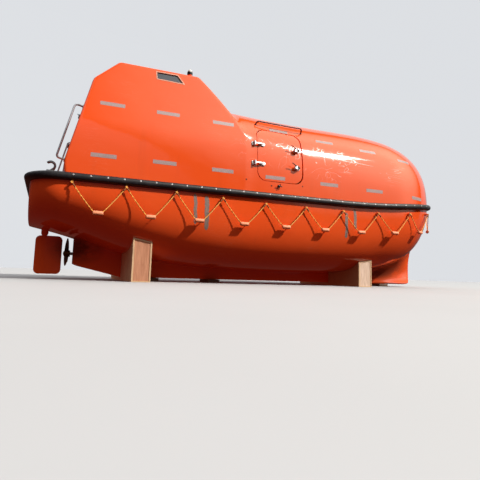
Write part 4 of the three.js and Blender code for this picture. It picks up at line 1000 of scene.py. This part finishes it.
# Hull, keel and forefoot
def hull_surface(inset=0.0):
    """The hull's skin, open along its rim; with an inset it is closed there by a lid."""
    stern = STERN_CORNER * (1 - np.cos(np.radians(spaced((0, 0), (90, 6)))))
    body = spaced((STERN_CORNER, 0), (BOW_START, 70))[1:]
    angles = np.radians(spaced((0, 0), (20, 3), (160, 1.6), (180, 3)))
    c, d = np.cos(angles), np.sin(angles)
    rows = []
    for x in np.concatenate([stern, body, nose_stations()]):
        b, s, n = half_beam(x) - inset, sheer(x), along(HULL_TABLE, 2, x)
        h = s - along(HULL_TABLE, 1, x) - inset
        r = ((np.abs(c) / max(b, 1)) ** n + (d / max(h, 1)) ** n) ** (-1 / n)
        rows.append(np.stack([np.full_like(r, x), r * c, s - r * d], -1))
    tip = [HULL_LENGTH - TIP_GAP, 0, float(sheer(HULL_LENGTH))]
    points, faces = tipped(np.array(rows), tip, [0, 0, SHEER])
    if inset:
        count, columns = len(rows), len(angles)
        rim = [i * columns for i in range(count)] + [count * columns]
        rim += [i * columns + columns - 1 for i in range(count - 1, -1, -1)] + [count * columns + 1]
        faces.append(tuple(rim))
    return points, faces


def make_hull():
    fittings = [lathe(RUDDER_BOSS, (RUDDER["stock_x"], 0, 0), UP, 28)]
    for side in SIDES:
        for i in range(LINE["bights"] + 1):
            x, y, z, turn = eye(i)
            out = np.array([math.sin(turn), side * math.cos(turn), 0])
            root = np.array([x, side * y, z]) - out * (LINE["stand"] + 30)
            fittings.append(lathe(LUG, root, out, 12))
    piece("hull_fittings", joined(*fittings), "orange_moulding")
    dress(thickened("hull_shell", hull_surface(), [3000, 0, 900]), "orange_moulding", ["hull"])


def forefoot_half(x, z, swell):
    """Half width of the forefoot: the keel's side, faired into the hull above it."""
    def step(a, b):
        t = np.clip((x - a) / (b - a), 0, 1)
        return t * t * (3 - 2 * t)

    f = FOREFOOT
    side = KEEL["half"] + f["swell"] * swell * step(f["swell_aft"], f["swell_fore"])
    hollow = np.maximum(f["hollow"] * step(f["aft"], f["full"]), 1e-3)
    low, high = side.copy(), side + hollow
    for _ in range(34):
        y = (low + high) / 2
        inside = smooth_min(hull_field(np.stack([x, y, np.full_like(x, z)], -1)), y - side, hollow) < 0
        low, high = np.where(inside, y, low), np.where(inside, high, y)
    return low


def stem_levels():
    """Heights of the forefoot's outlines with the stem's front and the foot's swell there."""
    heights = [STEM_TABLE[0][0]]
    for (a, *_), (b, *_) in zip(STEM_TABLE, STEM_TABLE[1:]):
        count = max(2, round((b - a) / 12))
        heights += [a + (b - a) * (k + 1) / count for k in range(count)]
    return [(z, float(along(STEM_TABLE, 1, z)), float(np.clip(along(STEM_TABLE, 2, z), 0, 1)))
            for z in heights]


def forefoot_ring(z, front, swell):
    aft, blunt = FOREFOOT["aft"], KEEL["half"] * 1.1 + FOREFOOT["swell"] * swell
    x = aft + (front - blunt - aft) * np.sin(np.linspace(0, math.pi / 2, 60))
    half = forefoot_half(x, z, swell)
    turn = np.linspace(0, math.pi / 2, 14)[1:-1]
    x = np.concatenate([x, front - blunt + blunt * np.sin(turn)])
    half = np.concatenate([half, half[-1] * np.cos(turn)])
    port = np.stack([x, half, np.full_like(x, z)], -1)
    return np.concatenate([port * ACROSS, [[front, 0, z]], port[::-1]])


def make_keel():
    inner = hull_surface(KEEL["inset"])
    keel = raw("keel_moulding", *loft([forefoot_ring(*level) for level in stem_levels()]))
    skeg = bevelled(raw("skeg", *prism(SIDE_VIEW, SKEG, -KEEL["half"], KEEL["half"])), 9, 3, 50)
    for part in (keel, skeg):
        dress(cut(part, [inner]), "orange_moulding", ["keel"])


# Gunwale: fender and grab line
def gunwale_path():
    """Starboard gunwale from the stern's corner to the stem: x, y and the way out, as rows."""
    body = spaced((STERN_CORNER + TOUCH / 2, 0), (BOW_START, 55))
    reach = LAST_STATION - BOW_START
    turn = np.radians(spaced((0, 0), (90, 1.6)))[1:]
    x = np.concatenate([body, BOW_START + reach * np.sin(turn)])
    y = np.concatenate([np.full_like(body, HALF_BEAM), HALF_BEAM * np.cos(turn)])
    bow = np.stack([np.sin(turn) / reach, np.cos(turn) / HALF_BEAM], -1)
    out = unit(np.concatenate([np.tile([0.0, 1.0], (len(body), 1)), bow]))
    return np.concatenate([np.stack([x, -y], -1), out * [1, -1]], 1)


def stern_path():
    """The same round the stern, from one corner to the other."""
    turn = np.radians(spaced((0, 0), (90, 4.5)))
    x, y = STERN_CORNER * (1 - np.sin(turn)), STERN_CORNER * (1 - np.cos(turn)) - HALF_BEAM
    half = np.stack([x, y, -np.sin(turn), -np.cos(turn)], -1)
    half[0, 0] -= TOUCH / 2
    return np.concatenate([half, (half * [1, -1, 1, -1])[::-1]])


def fender_sweep(path):
    turns, half = np.radians(np.linspace(-90, 90, 17)), FENDER["half"]
    out = FENDER["depth"] * np.cos(turns) ** FENDER["power"]
    up = half * np.sign(np.sin(turns)) * np.abs(np.sin(turns)) ** FENDER["power"]
    out = np.concatenate([[TOUCH], np.maximum(out, TOUCH), [TOUCH]])
    up = np.concatenate([[-half * 0.98], up, [half * 0.98]])
    return loft([np.stack([x + ox * out, y + oy * out, float(sheer(max(0.0, x))) + up], -1)
                 for x, y, ox, oy in path])


def make_fender():
    path = gunwale_path()
    way, bolts = walked(path[:, :2]), []
    for s in np.arange(FENDER["first_bolt"], way[-1] - FENDER["clear_end"], FENDER["bolts"]):
        x, y, ox, oy = (np.interp(s, way, path[:, c]) for c in range(4))
        out = FENDER["bolt_out"]
        at = [x + ox * out, y + oy * out, float(sheer(x)) + FENDER["bolt_up"]]
        bolts.append(lathe(FENDER_BOLT, at, [ox, oy, FENDER["bolt_tilt"]], 12))
    both("fender_skin_{}", fender_sweep(path), "black_rubber", "fender_{}")
    both("fender_bolts_{}", joined(*bolts), "polished_steel", material=BOLT)
    piece("fender_skin_stern", fender_sweep(stern_path()), "black_rubber", ["fender_stern"])


def gunwale_point(distance):
    """x, half width and turn of the gunwale at a way along it from the first eye."""
    gone, x, step = 0.0, float(LINE["first"]), 4.0
    while gone < distance and x < HULL_LENGTH - step:
        gone += math.hypot(step, float(half_beam(x + step) - half_beam(x)))
        x += step
    return x, float(half_beam(x)), math.atan(-float(half_beam(x + 2) - half_beam(x - 2)) / 4)


def eye(i):
    """The grab line's eye: x, half width, height and turn of the gunwale there."""
    x, y, turn = gunwale_point(i * LINE["spacing"])
    share = min(1.0, max(0.0, (x - LINE["drop_from"]) / LINE["drop_over"]))
    z = float(sheer(x)) - LINE["aft_drop"] - share * (LINE["fore_drop"] - LINE["aft_drop"])
    return x + LINE["stand"] * math.sin(turn), y + LINE["stand"] * math.cos(turn), z, turn


def rope_leg(a, b):
    """A length of laid rope from a to b, a little slack."""
    length = np.linalg.norm(b - a)
    t = np.linspace(0, 1, max(4, round(length / LINE["step"])))[:, None]
    path = a + (b - a) * t - np.array(UP) * (LINE["sag"] * length * 4 * t * (1 - t))
    return tube(path, LINE["rope"], 9, 0.16, 2 * math.pi / LINE["lay"])


def float_profile():
    f, r, length = LINE["float"], LINE["rope"], LINE["float_length"]
    end = [(r, 0), (f * 0.7, 1), (f * 0.93, 6), (f, 15)]
    return end + [(radius, length - height) for radius, height in end[::-1]]


def eye_loops(i):
    """Two small loops of rope round the eye."""
    x, y, z, turn = eye(i)
    out = np.array([math.sin(turn), -math.cos(turn), 0.0])
    across = np.array([-out[1], out[0], 0.0])
    t = np.linspace(0, 2 * math.pi, 15)[:, None]
    return [tube(np.array([x, -y, z]) + out * shift + LINE["loop"]
                 * (np.cos(t) * across + np.sin(t) * (np.array(UP) + out * lean)), LINE["loop_rope"], 8)
            for shift, lean in ((-7.0, 0.2), (5.0, -0.25))]


def make_grab_lines():
    rope, floats, wraps = [], [], []
    for i in range(LINE["bights"]):
        tops = [np.array([x, -y, z]) for x, y, z, _ in (eye(i), eye(i + 1))]
        middle = (tops[0] + tops[1]) / 2
        middle[2] = float(sheer(middle[0])) - LINE["float_drop"]
        run = unit((tops[1] - tops[0]) * [1, 1, 0])
        reach = run * LINE["float_length"] / 2
        ends = middle - reach, middle + reach
        inward = run * LINE["in_float"]
        rope += [rope_leg(tops[0], ends[0] + inward), rope_leg(ends[1] - inward, tops[1])]
        floats.append(lathe(float_profile(), ends[0], run, 18))
        wraps += [lathe(WHIPPING_SHAPE, top, end - top, 10) for top, end in zip(tops, ends)]
    for i in range(LINE["bights"] + 1):
        rope += eye_loops(i)
    both("grab_rope_{}", joined(*rope), "yellow_rope", "grab_line_{}")
    both("grab_floats_{}", joined(*floats), "yellow_rope", "grab_line_{}", material=FLOAT)
    both("rope_wraps_{}", joined(*wraps), "yellow_rope", "grab_line_{}", material=WHIPPING)


# Hinges, latches, rails and other fittings
def hinge_foot(wall, edge, w):
    """The fixed half of a hinge: a plate, two cheeks and the pin."""
    u, near, out = edge - HINGE["back"], HINGE["half"] + 1, HINGE["out"]
    outer = near + HINGE["cheek"]
    cheek = [(u - 26, 0), (u + 13, 0)] + arch(u, out, 13, 0, 180)
    ends = [spot_on(wall, u, w + s * (outer + 3), out) for s in (-1, 1)]
    form = [prism(wall, rounded(u - 40, u + 12, w - outer, w + outer, 9), -25, 9, 3),
            prism(edge_on(wall), cheek, w + near, w + outer),
            prism(edge_on(wall), cheek, w - outer, w - near),
            tube(ends, HINGE["pin"], 12)]
    for s in (-1, 1):
        form.append(dome(spot_on(wall, u, w + s * outer, out), wall[1][1] * s, 9, 6))
        form.append(dome(spot_on(wall, u - 33, w + s * 17, 9), wall[1][2], 6, 3))
    return joined(*form)


def hinge_strap(wall, edge, w):
    """The half of a hinge on the leaf: a knuckle, a cranked arm and a round pad."""
    half, pad, knuckle = HINGE["half"], edge + HINGE["pad"], HINGE["knuckle"]
    axle = spot_on(wall, edge - HINGE["back"], w - half, HINGE["out"])
    plate = arch(pad, w, HINGE["pad_radius"], -90, 90, 14) + moved(STRAP_NECK, edge, w)
    form = [lathe([(knuckle, 0), (knuckle, 2 * half)], axle, wall[1][1]),
            prism(edge_on(wall), moved(STRAP_ARM, edge, 0), w - half + 8, w + half - 8),
            prism(wall, plate, -12, 13, 4)]
    form += [dome(spot_on(wall, u, v, 13), wall[1][2], 6, 4) for u, v in arch(pad, w, 15, 0, 240, 2)]
    return joined(*form)


def latch(wall, u, w, plate=9):
    """A latch's plate and head."""
    form = [prism(wall, rounded(u - 52, u + 30, w - 24, w + 24, 10), -12, plate, 3),
            lathe([(19, -6), (19, 20)], spot_on(wall, u - 20, w, 0), wall[1][2]),
            prism(wall, moved(LATCH_HEAD, u, w), 18, 46, 7)]
    form += [dome(spot_on(wall, *at, plate), wall[1][2], 5, 2.5) for at in moved(LATCH_SCREWS, u, w)]
    return joined(*form)


def latch_grip_painted_reflection(wall, u, w):
    """A latch's dark pointed end and the thin bar of its lever; the black is painted reflection, standing
    for chrome that mirrors dark surroundings.
    """
    lever = [spot_on(wall, u + du, w + dw, out) for du, dw, out in LATCH_LEVER]
    return joined(prism(wall, moved(LATCH_POINT, u, w), 17, 44, 6), tube(lever, [6.5, 6, 5.5], 10),
                  dome(lever[-1], lever[-1] - lever[0], 7, 8))


def make_hatch_fittings():
    wall, x, latch_u = HATCH_WALL[-1], HATCH["x"], HATCH["x"] + HATCH["width"] - HATCH["latch_aft"]
    for level in ("low", "high"):
        hinge_w, latch_w = up_hatch(HATCH[level]), up_hatch(HATCH["latch_" + level])
        tail = f"_{level}_{{}}"
        hinge, lever, leaf = "hatch_hinge" + tail, "hatch_latch" + tail, "{}_hatch"
        both("hinge_strap" + tail, hinge_strap(wall, x, hinge_w), "polished_steel", hinge, leaf)
        both("latch" + tail, latch(wall, latch_u, latch_w, 6), "polished_steel", lever, leaf)
        # Black point and lever: painted reflection of dark surroundings on the latch.
        both("latch_grip_painted_reflection" + tail, latch_grip_painted_reflection(wall, latch_u, latch_w), "black_plastic", lever, leaf)
        both("hinge_foot" + tail, hinge_foot(wall, x, hinge_w), "polished_steel")


def make_door_fittings():
    edge, latch_u, leaf = -DOOR["half"], DOOR["half"] - DOOR["latch_in"], "stern_door"
    for level in ("low", "high"):
        w, hinge, lever = DOOR[level], ["door_hinge_" + level], ["door_latch_" + level]
        piece("door_strap_" + level, hinge_strap(AFT_WALL, edge, w), "polished_steel", hinge, leaf)
        piece("door_lever_" + level, latch(AFT_WALL, latch_u, w), "polished_steel", lever, leaf)
        # Black point and lever: painted reflection of dark surroundings on the latch.
        piece("door_grip_painted_reflection_" + level, latch_grip_painted_reflection(AFT_WALL, latch_u, w), "black_plastic", lever, leaf)
        piece("door_foot_" + level, hinge_foot(AFT_WALL, edge, w), "polished_steel")


def make_lid_fittings():
    for side, label in SIDES.items():
        w, back = -side * LID["hinge"], -HINGE["back"]
        strap = hinge_strap(LID_WALL, 0, w)
        piece("lid_strap_" + label, strap, "polished_steel", ["lid_hinge_" + label], "roof_lid")
        block = prism(LID_WALL, rounded(back - 34, back + 8, w - 24, w + 24, 6), -112, -10)
        piece("lid_foot_" + label, joined(hinge_foot(LID_WALL, 0, w), block), "polished_steel")


def make_rails():
    r, out = STERN_RAIL, AFT_WALL[1][2]
    stops = [(r["low"], 0), (r["low"], r["out"]), (r["high"], r["out"]), (r["high"], 0)]
    path = [spot_on(AFT_WALL, r["y"], up, reach + TOUCH) for up, reach in stops]
    stern = [tube(bent(path, r["bend"]), r["radius"], 14)]
    for up in (r["low"], r["high"]):
        stern.append(lathe(RAIL_FOOT, spot_on(AFT_WALL, r["y"], up, 0), out))
        stern += [dome(spot_on(AFT_WALL, u, w, 8), out, 4, 2.5, 8)
                  for u, w in arch(r["y"], up, r["screws"], 90, 330, 2)]
    both("stern_handrail_{}", joined(*stern), "polished_steel", "stern_rail_{}")
    r = HATCH_RAIL
    top = basis((0, -float(canopy_side(r["aft"], r["z"])), r["z"]), (1, 0, 0), (0, 1, 1))
    stops = [(r["aft"], -30), (r["aft"] + 25, r["out"]), (r["fore"] - 25, r["out"] - 12), (r["fore"], -60)]
    rail = tube(bent([spot_on(top, u, 0, v) for u, v in stops], r["bend"]), r["radius"], 14)
    # The hatch rail's dark red is painted shade.
    both("hatch_handrail_{}", rail, "orange_paint", "hatch_rail_{}", material=RAIL_PAINTED_SHADE)


def make_beacon():
    centre = (*BEACON_AT, roof_height(BEACON_AT[1]) - 8)
    for name, shape, slot in (("base", BEACON_STEM, "orange_paint"),
                              ("collar", BEACON_COLLAR, "black_plastic"),
                              ("lens", BEACON_LENS, "white_plastic")):
        piece("beacon_" + name, lathe(shape, centre, UP, 28), slot, ["beacon"])


def make_small_fittings():
    """What sits on the side below the hatch: a tap with a cross handle, and three plugs."""
    at, out = on_side(*TAP_AT, -1)
    up = np.array([0.25, 0, 0.97])
    handle = at + out * 30
    form = [lathe(TAP, at, out, 16)]
    form += [tube([handle - bar, handle + bar], 6.5) for bar in (up * 30, np.cross(out, up) * 34)]
    form += [dome(*on_side(x, z, -1), 10, 6) for x, z in PLUGS]
    piece("side_tap", joined(*form), "black_plastic")


def tape_form(x0, z, side):
    """A tape laid along the side, its length measured on the curved skin."""
    x = np.linspace(x0, x0 + TAPE["length"], 60)
    line, _ = on_side(x, z, side)
    x = np.interp(np.linspace(0, TAPE["length"], 15), walked(line), x)
    line, normals = on_side(x, z, side)
    across = unit(np.cross(normals, np.gradient(line, axis=0)))
    rows = np.array([line + across * k for k in np.linspace(-0.5, 0.5, 4) * TAPE["width"]])
    return veneer(*settle(rows, cover_field), TAPE["lift"])


def make_tapes():
    for side, label in SIDES.items():
        tape = tape_form(*HATCH_TAPE, side)
        piece("hatch_tape_" + label, tape, "white_plastic", (), label + "_hatch", TAPE_SKIN)
        tapes = [tape_form(*at, side) for at in UPPER_TAPES + LOWER_TAPES if at != HATCH_TAPE]
        piece("tapes_" + label, joined(*tapes), "white_plastic", material=TAPE_SKIN)


def make_worn_strips():
    """Where lashings have rubbed the topside down to grey."""
    ragged = np.random.default_rng(7)
    steps = np.arange(WEAR["rows"])
    taper = np.clip(np.minimum(steps, steps[::-1]) / 3 + 0.25, 0, 1)
    form = []
    for x, width, top, bottom in WORN_STRIPS:
        z = np.linspace(top, bottom, len(steps))
        left, right = (edge * taper * (WEAR["least"] + WEAR["ragged"] * ragged.random(len(steps)))
                       for edge in (-width / 2, width / 2))
        middle = x + np.linspace(0, WEAR["lean"], len(steps)) + WEAR["sway"] * np.sin(z / WEAR["wave"])
        rows = np.stack([middle + left, middle, middle + right])
        form.append(veneer(*on_side(rows, z, -1, hull_field), WEAR["lift"]))
    piece("worn_strips", joined(*form), "orange_moulding", material=GREY)


# Stern gear
def blade_ring(r, turn):
    """A propeller blade's section at a radius, on a blade that stands at a turn."""
    around = np.radians(np.linspace(0, 360, 25)[:-1])
    chord, thick = (float(along(BLADE_TABLE, column, r)) for column in (1, 2))
    pitch = math.atan2(PROPELLER["pitch"], 2 * math.pi * r)
    c, t = chord / 2 * np.cos(around), thick / 2 * np.sin(around) * (1 - 0.35 * np.cos(around))
    x, y = c * math.sin(pitch) + t * math.cos(pitch), c * math.cos(pitch) - t * math.sin(pitch)
    return np.stack([PROPELLER["x"] + x, y * math.cos(turn) - r * math.sin(turn),
                     PROPELLER["z"] + y * math.sin(turn) + r * math.cos(turn)], -1)


def make_propeller():
    p = PROPELLER
    end, hub = p["half"], p["hub"]
    radii = spaced((30, 0), (180, 10), (212, 3.5))
    turns = [math.radians(i * 360 / p["blades"] + p["turn"]) for i in range(p["blades"])]
    form = [loft([blade_ring(r, turn) for r in radii]) for turn in turns]
    cone = [(hub * math.sin(t), -end + end * 0.8 * (1 - math.cos(t))) for t in np.linspace(0.1, 1.5, 8)]
    form.append(lathe(cone + [(hub, end - 4), (hub - 4, end)], (p["x"], 0, p["z"]), (1, 0, 0), 32))
    piece("propeller_casting", joined(*form), "bronze", ["propeller"], "screw")


def rudder_ring(z):
    """The rudder's section at a height, from its fore edge round the aft one."""
    r, corner, s = RUDDER, RUDDER["corner"], np.linspace(0, 1, 13)
    reach = max(0.0, r["low"] + corner - z, z - r["high"] + corner)
    inset = corner - math.sqrt(max(0.0, corner**2 - reach**2))
    x = r["fore"] - inset + (r["aft"] - r["fore"] + 2 * inset) * s
    nose = r["fore"] + r["lead"]
    fore = r["half"] * np.sqrt(np.clip((nose - x) / (nose - r["stock_x"]), 0, 1))
    aft = r["tail"] + (r["half"] - r["tail"]) * np.clip((x - r["aft"]) / (r["stock_x"] - r["aft"]), 0, 1)
    half = np.minimum(np.where(x > r["stock_x"], fore, aft), r["rim"] + 200 * s * (1 - s))
    port = np.stack([x, half, np.full_like(x, z)], -1)
    return np.concatenate([port, (port * ACROSS)[::-1]])


def make_rudder():
    low, high, corner = RUDDER["low"], RUDDER["high"], RUDDER["corner"]
    turns = np.radians(np.linspace(0, 90, 9))
    straight = spaced((low + corner, 0), (high - corner, 60))[1:]
    levels = np.concatenate([low + corner * (1 - np.cos(turns)), straight,
                             (high - corner + corner * np.sin(turns))[1:]])
    form = [loft([rudder_ring(z) for z in levels])]
    form += [lathe(shape, (RUDDER["stock_x"], 0, 0), UP, 24) for shape in (RUDDER_STOCK, RUDDER_COLLAR)]
    piece("rudder_blade", joined(*form), "orange_paint", ["rudder"], "steering_blade")


# Cradle
def saddle_section(x, reach, top, drop=0.0):
    """A saddle's section across the boat, hollowed to the hull there and slotted for the keel."""
    slot = KEEL["half"] + TOUCH
    y = np.linspace(reach, slot, 40)
    b, s, n = (float(v) for v in (half_beam(x), sheer(x), along(HULL_TABLE, 2, x)))
    h = s - float(along(HULL_TABLE, 1, x))
    hull = s - h * (1 - (y / b) ** n) ** (1 / n) - TOUCH - drop
    half = [(x, reach, 0)] + [(x, yy, min(top, zz)) for yy, zz in zip(y, hull)]
    half = np.array(half + [(x, slot, KEEL["bottom"] - TOUCH)])
    return np.concatenate([half, (half * ACROSS)[::-1]])


def saddle_slab(aft, fore, *section):
    return loft([saddle_section(x, *section) for x in np.linspace(aft, fore, 5)])


def end_board(aft, fore, side, reach, heights):
    """A board between the cheeks at one end; heights gives its low and high edge at x and y."""
    outline = [(x, y) for x in (aft, fore) for y in (reach, reach - PLY["end"])]
    return [(x, side * y, z) for x, y in outline for z in heights(x, y)], BOX_FACES


def make_saddles():
    """Each a box of two thick cheeks, boards at its ends and a panel set back between them."""
    for (name, x, thick, reach, top), panel in zip(SADDLES, (PANEL, PALE_PANEL)):
        def under_top(at, y):
            rise = saddle_section(at, y, top, 2)[1, 2]
            return rise - 18, rise

        aft, fore, sheet = x - thick / 2, x + thick / 2, PLY["sheet"]
        inside = aft + sheet, fore - sheet
        cheeks = [saddle_slab(aft, inside[0], reach, top, 2), saddle_slab(inside[1], fore, reach, top, 2)]
        for side in SIDES:
            cheeks.append(end_board(*inside, side, reach, lambda at, y: (0, 14)))
            cheeks.append(end_board(*inside, side, reach, under_top))
        core = saddle_slab(*inside, reach - PLY["recess"], top - 16, 18)
        piece(name + "_cheeks", joined(*cheeks), "plywood", [name], material=EDGE, crease=30)
        piece(name + "_core", core, "plywood", [name], material=panel, crease=30)


# Stage
FLOOR_HALF = 60.0
BACKDROP = FLOOR_HALF * 0.95
SUN = {"from": (0.53, -0.55, 0.63), "energy": 4.1, "angle": 2.0, "colour": (1.0, 0.97, 0.92)}
SKY_TILT = 0.2  # the sky is brighter ahead of the bow
# height in the tilted sky, colour there
SKY = [(-1.0, (0.13, 0.035, 0.025)), (0.0, (0.10, 0.03, 0.022)), (0.06, (0.06, 0.05, 0.05)),
       (0.22, (0.14, 0.14, 0.15)), (0.42, (0.62, 0.63, 0.65)), (1.0, (1.0, 1.0, 1.02))]
SOFTBOX = {"towards": (0.58, -0.42, 0.66), "from": (0.3, -1.0, 1.8), "distance": 16.0, "half": 16.0,
           "strength": 3.3, "colour": (1.0, 0.95, 0.78)}


def glowing(name, colour, strength):
    s = Shader(name)
    s.set(Base_Color=(0, 0, 0), Roughness=1.0, Emission_Color=colour, Emission_Strength=strength)
    return s.owner


def sheet(name, half):
    data = bpy.data.meshes.new(name)
    corners = [(-half, -half, 0), (half, -half, 0), (half, half, 0), (-half, half, 0)]
    data.from_pydata(corners, [], [(0, 1, 2, 3)])
    return linked(name, data)


def add_softbox():
    """A soft panel overhead that shows in the gloss alone."""
    half = SOFTBOX["half"]
    panel = sheet("softbox", half)
    towards = Vector(SOFTBOX["towards"]).normalized()
    panel.location = towards * SOFTBOX["distance"] + Vector(SOFTBOX["from"])
    panel.rotation_euler = towards.to_track_quat("Z", "Y").to_euler()
    s = Shader("softbox_glow")
    away = s.length(s.place((1 / half, 1 / half, 1)))
    glow = s.times(s.ramp(away, (0.35, 1.0), (1.0, 0.0)), SOFTBOX["strength"])
    s.set(Base_Color=(0, 0, 0), Roughness=1.0, Emission_Color=SOFTBOX["colour"], Emission_Strength=glow)
    panel.data.materials.append(s.owner)
    panel.visible_camera = panel.visible_diffuse = panel.visible_transmission = panel.visible_shadow = False


def add_surroundings():
    floor = sheet("floor", FLOOR_HALF)
    s = Shader("pale_floor")
    s.set(Base_Color=s.mix(s.noise(0.6, 3), (0.46, 0.46, 0.46), (0.5, 0.5, 0.5)), Roughness=0.8)
    floor.data.materials.append(s.owner)
    backdrop = linked("backdrop", bpy.data.meshes.new("backdrop"))
    reworked(backdrop.data, lambda bm: bmesh.ops.create_icosphere(bm, subdivisions=4, radius=BACKDROP))
    backdrop.data.materials.append(glowing("pale_backdrop", (0.72, 0.74, 0.77), 1.0))
    for made in (floor, backdrop):
        made.visible_diffuse = made.visible_glossy = made.visible_transmission = False
    backdrop.visible_shadow = False


def add_light():
    s = Shader("sky", "worlds", "Background")
    up = (math.sin(SKY_TILT) / 2, 0, math.cos(SKY_TILT) / 2)
    links = {0: s.node("TexCoord").outputs["Generated"], 1: up}
    height = s.plus(s.node("VectorMath", links, operation="DOT_PRODUCT").outputs["Value"], 0.5)
    s.set(Color=s.ramp(height, *[(at / 2 + 0.5, colour) for at, colour in SKY]))
    bpy.context.scene.world = s.owner
    sun = bpy.data.lights.new("sun", "SUN")
    sun.energy, sun.angle, sun.color = SUN["energy"], math.radians(SUN["angle"]), SUN["colour"]
    linked("sun", sun).rotation_euler = Vector(SUN["from"]).to_track_quat("Z", "Y").to_euler()


for make in (make_cover, make_seals, make_hull, make_keel, make_fender, make_grab_lines, make_hatch_fittings,
             make_door_fittings, make_lid_fittings, make_rails, make_beacon, make_small_fittings, make_tapes,
             make_worn_strips, make_propeller, make_rudder, make_saddles):
    make()
for node, width in SOFT_EDGES.items():
    softened(node, width)
for name, node in NODES.items():
    node.data.materials.clear()
    node.data.materials.append(FINISH[SLOT_OF[name]])
add_surroundings()
add_light()
add_softbox()
bpy.context.scene.view_settings.view_transform = "Standard"
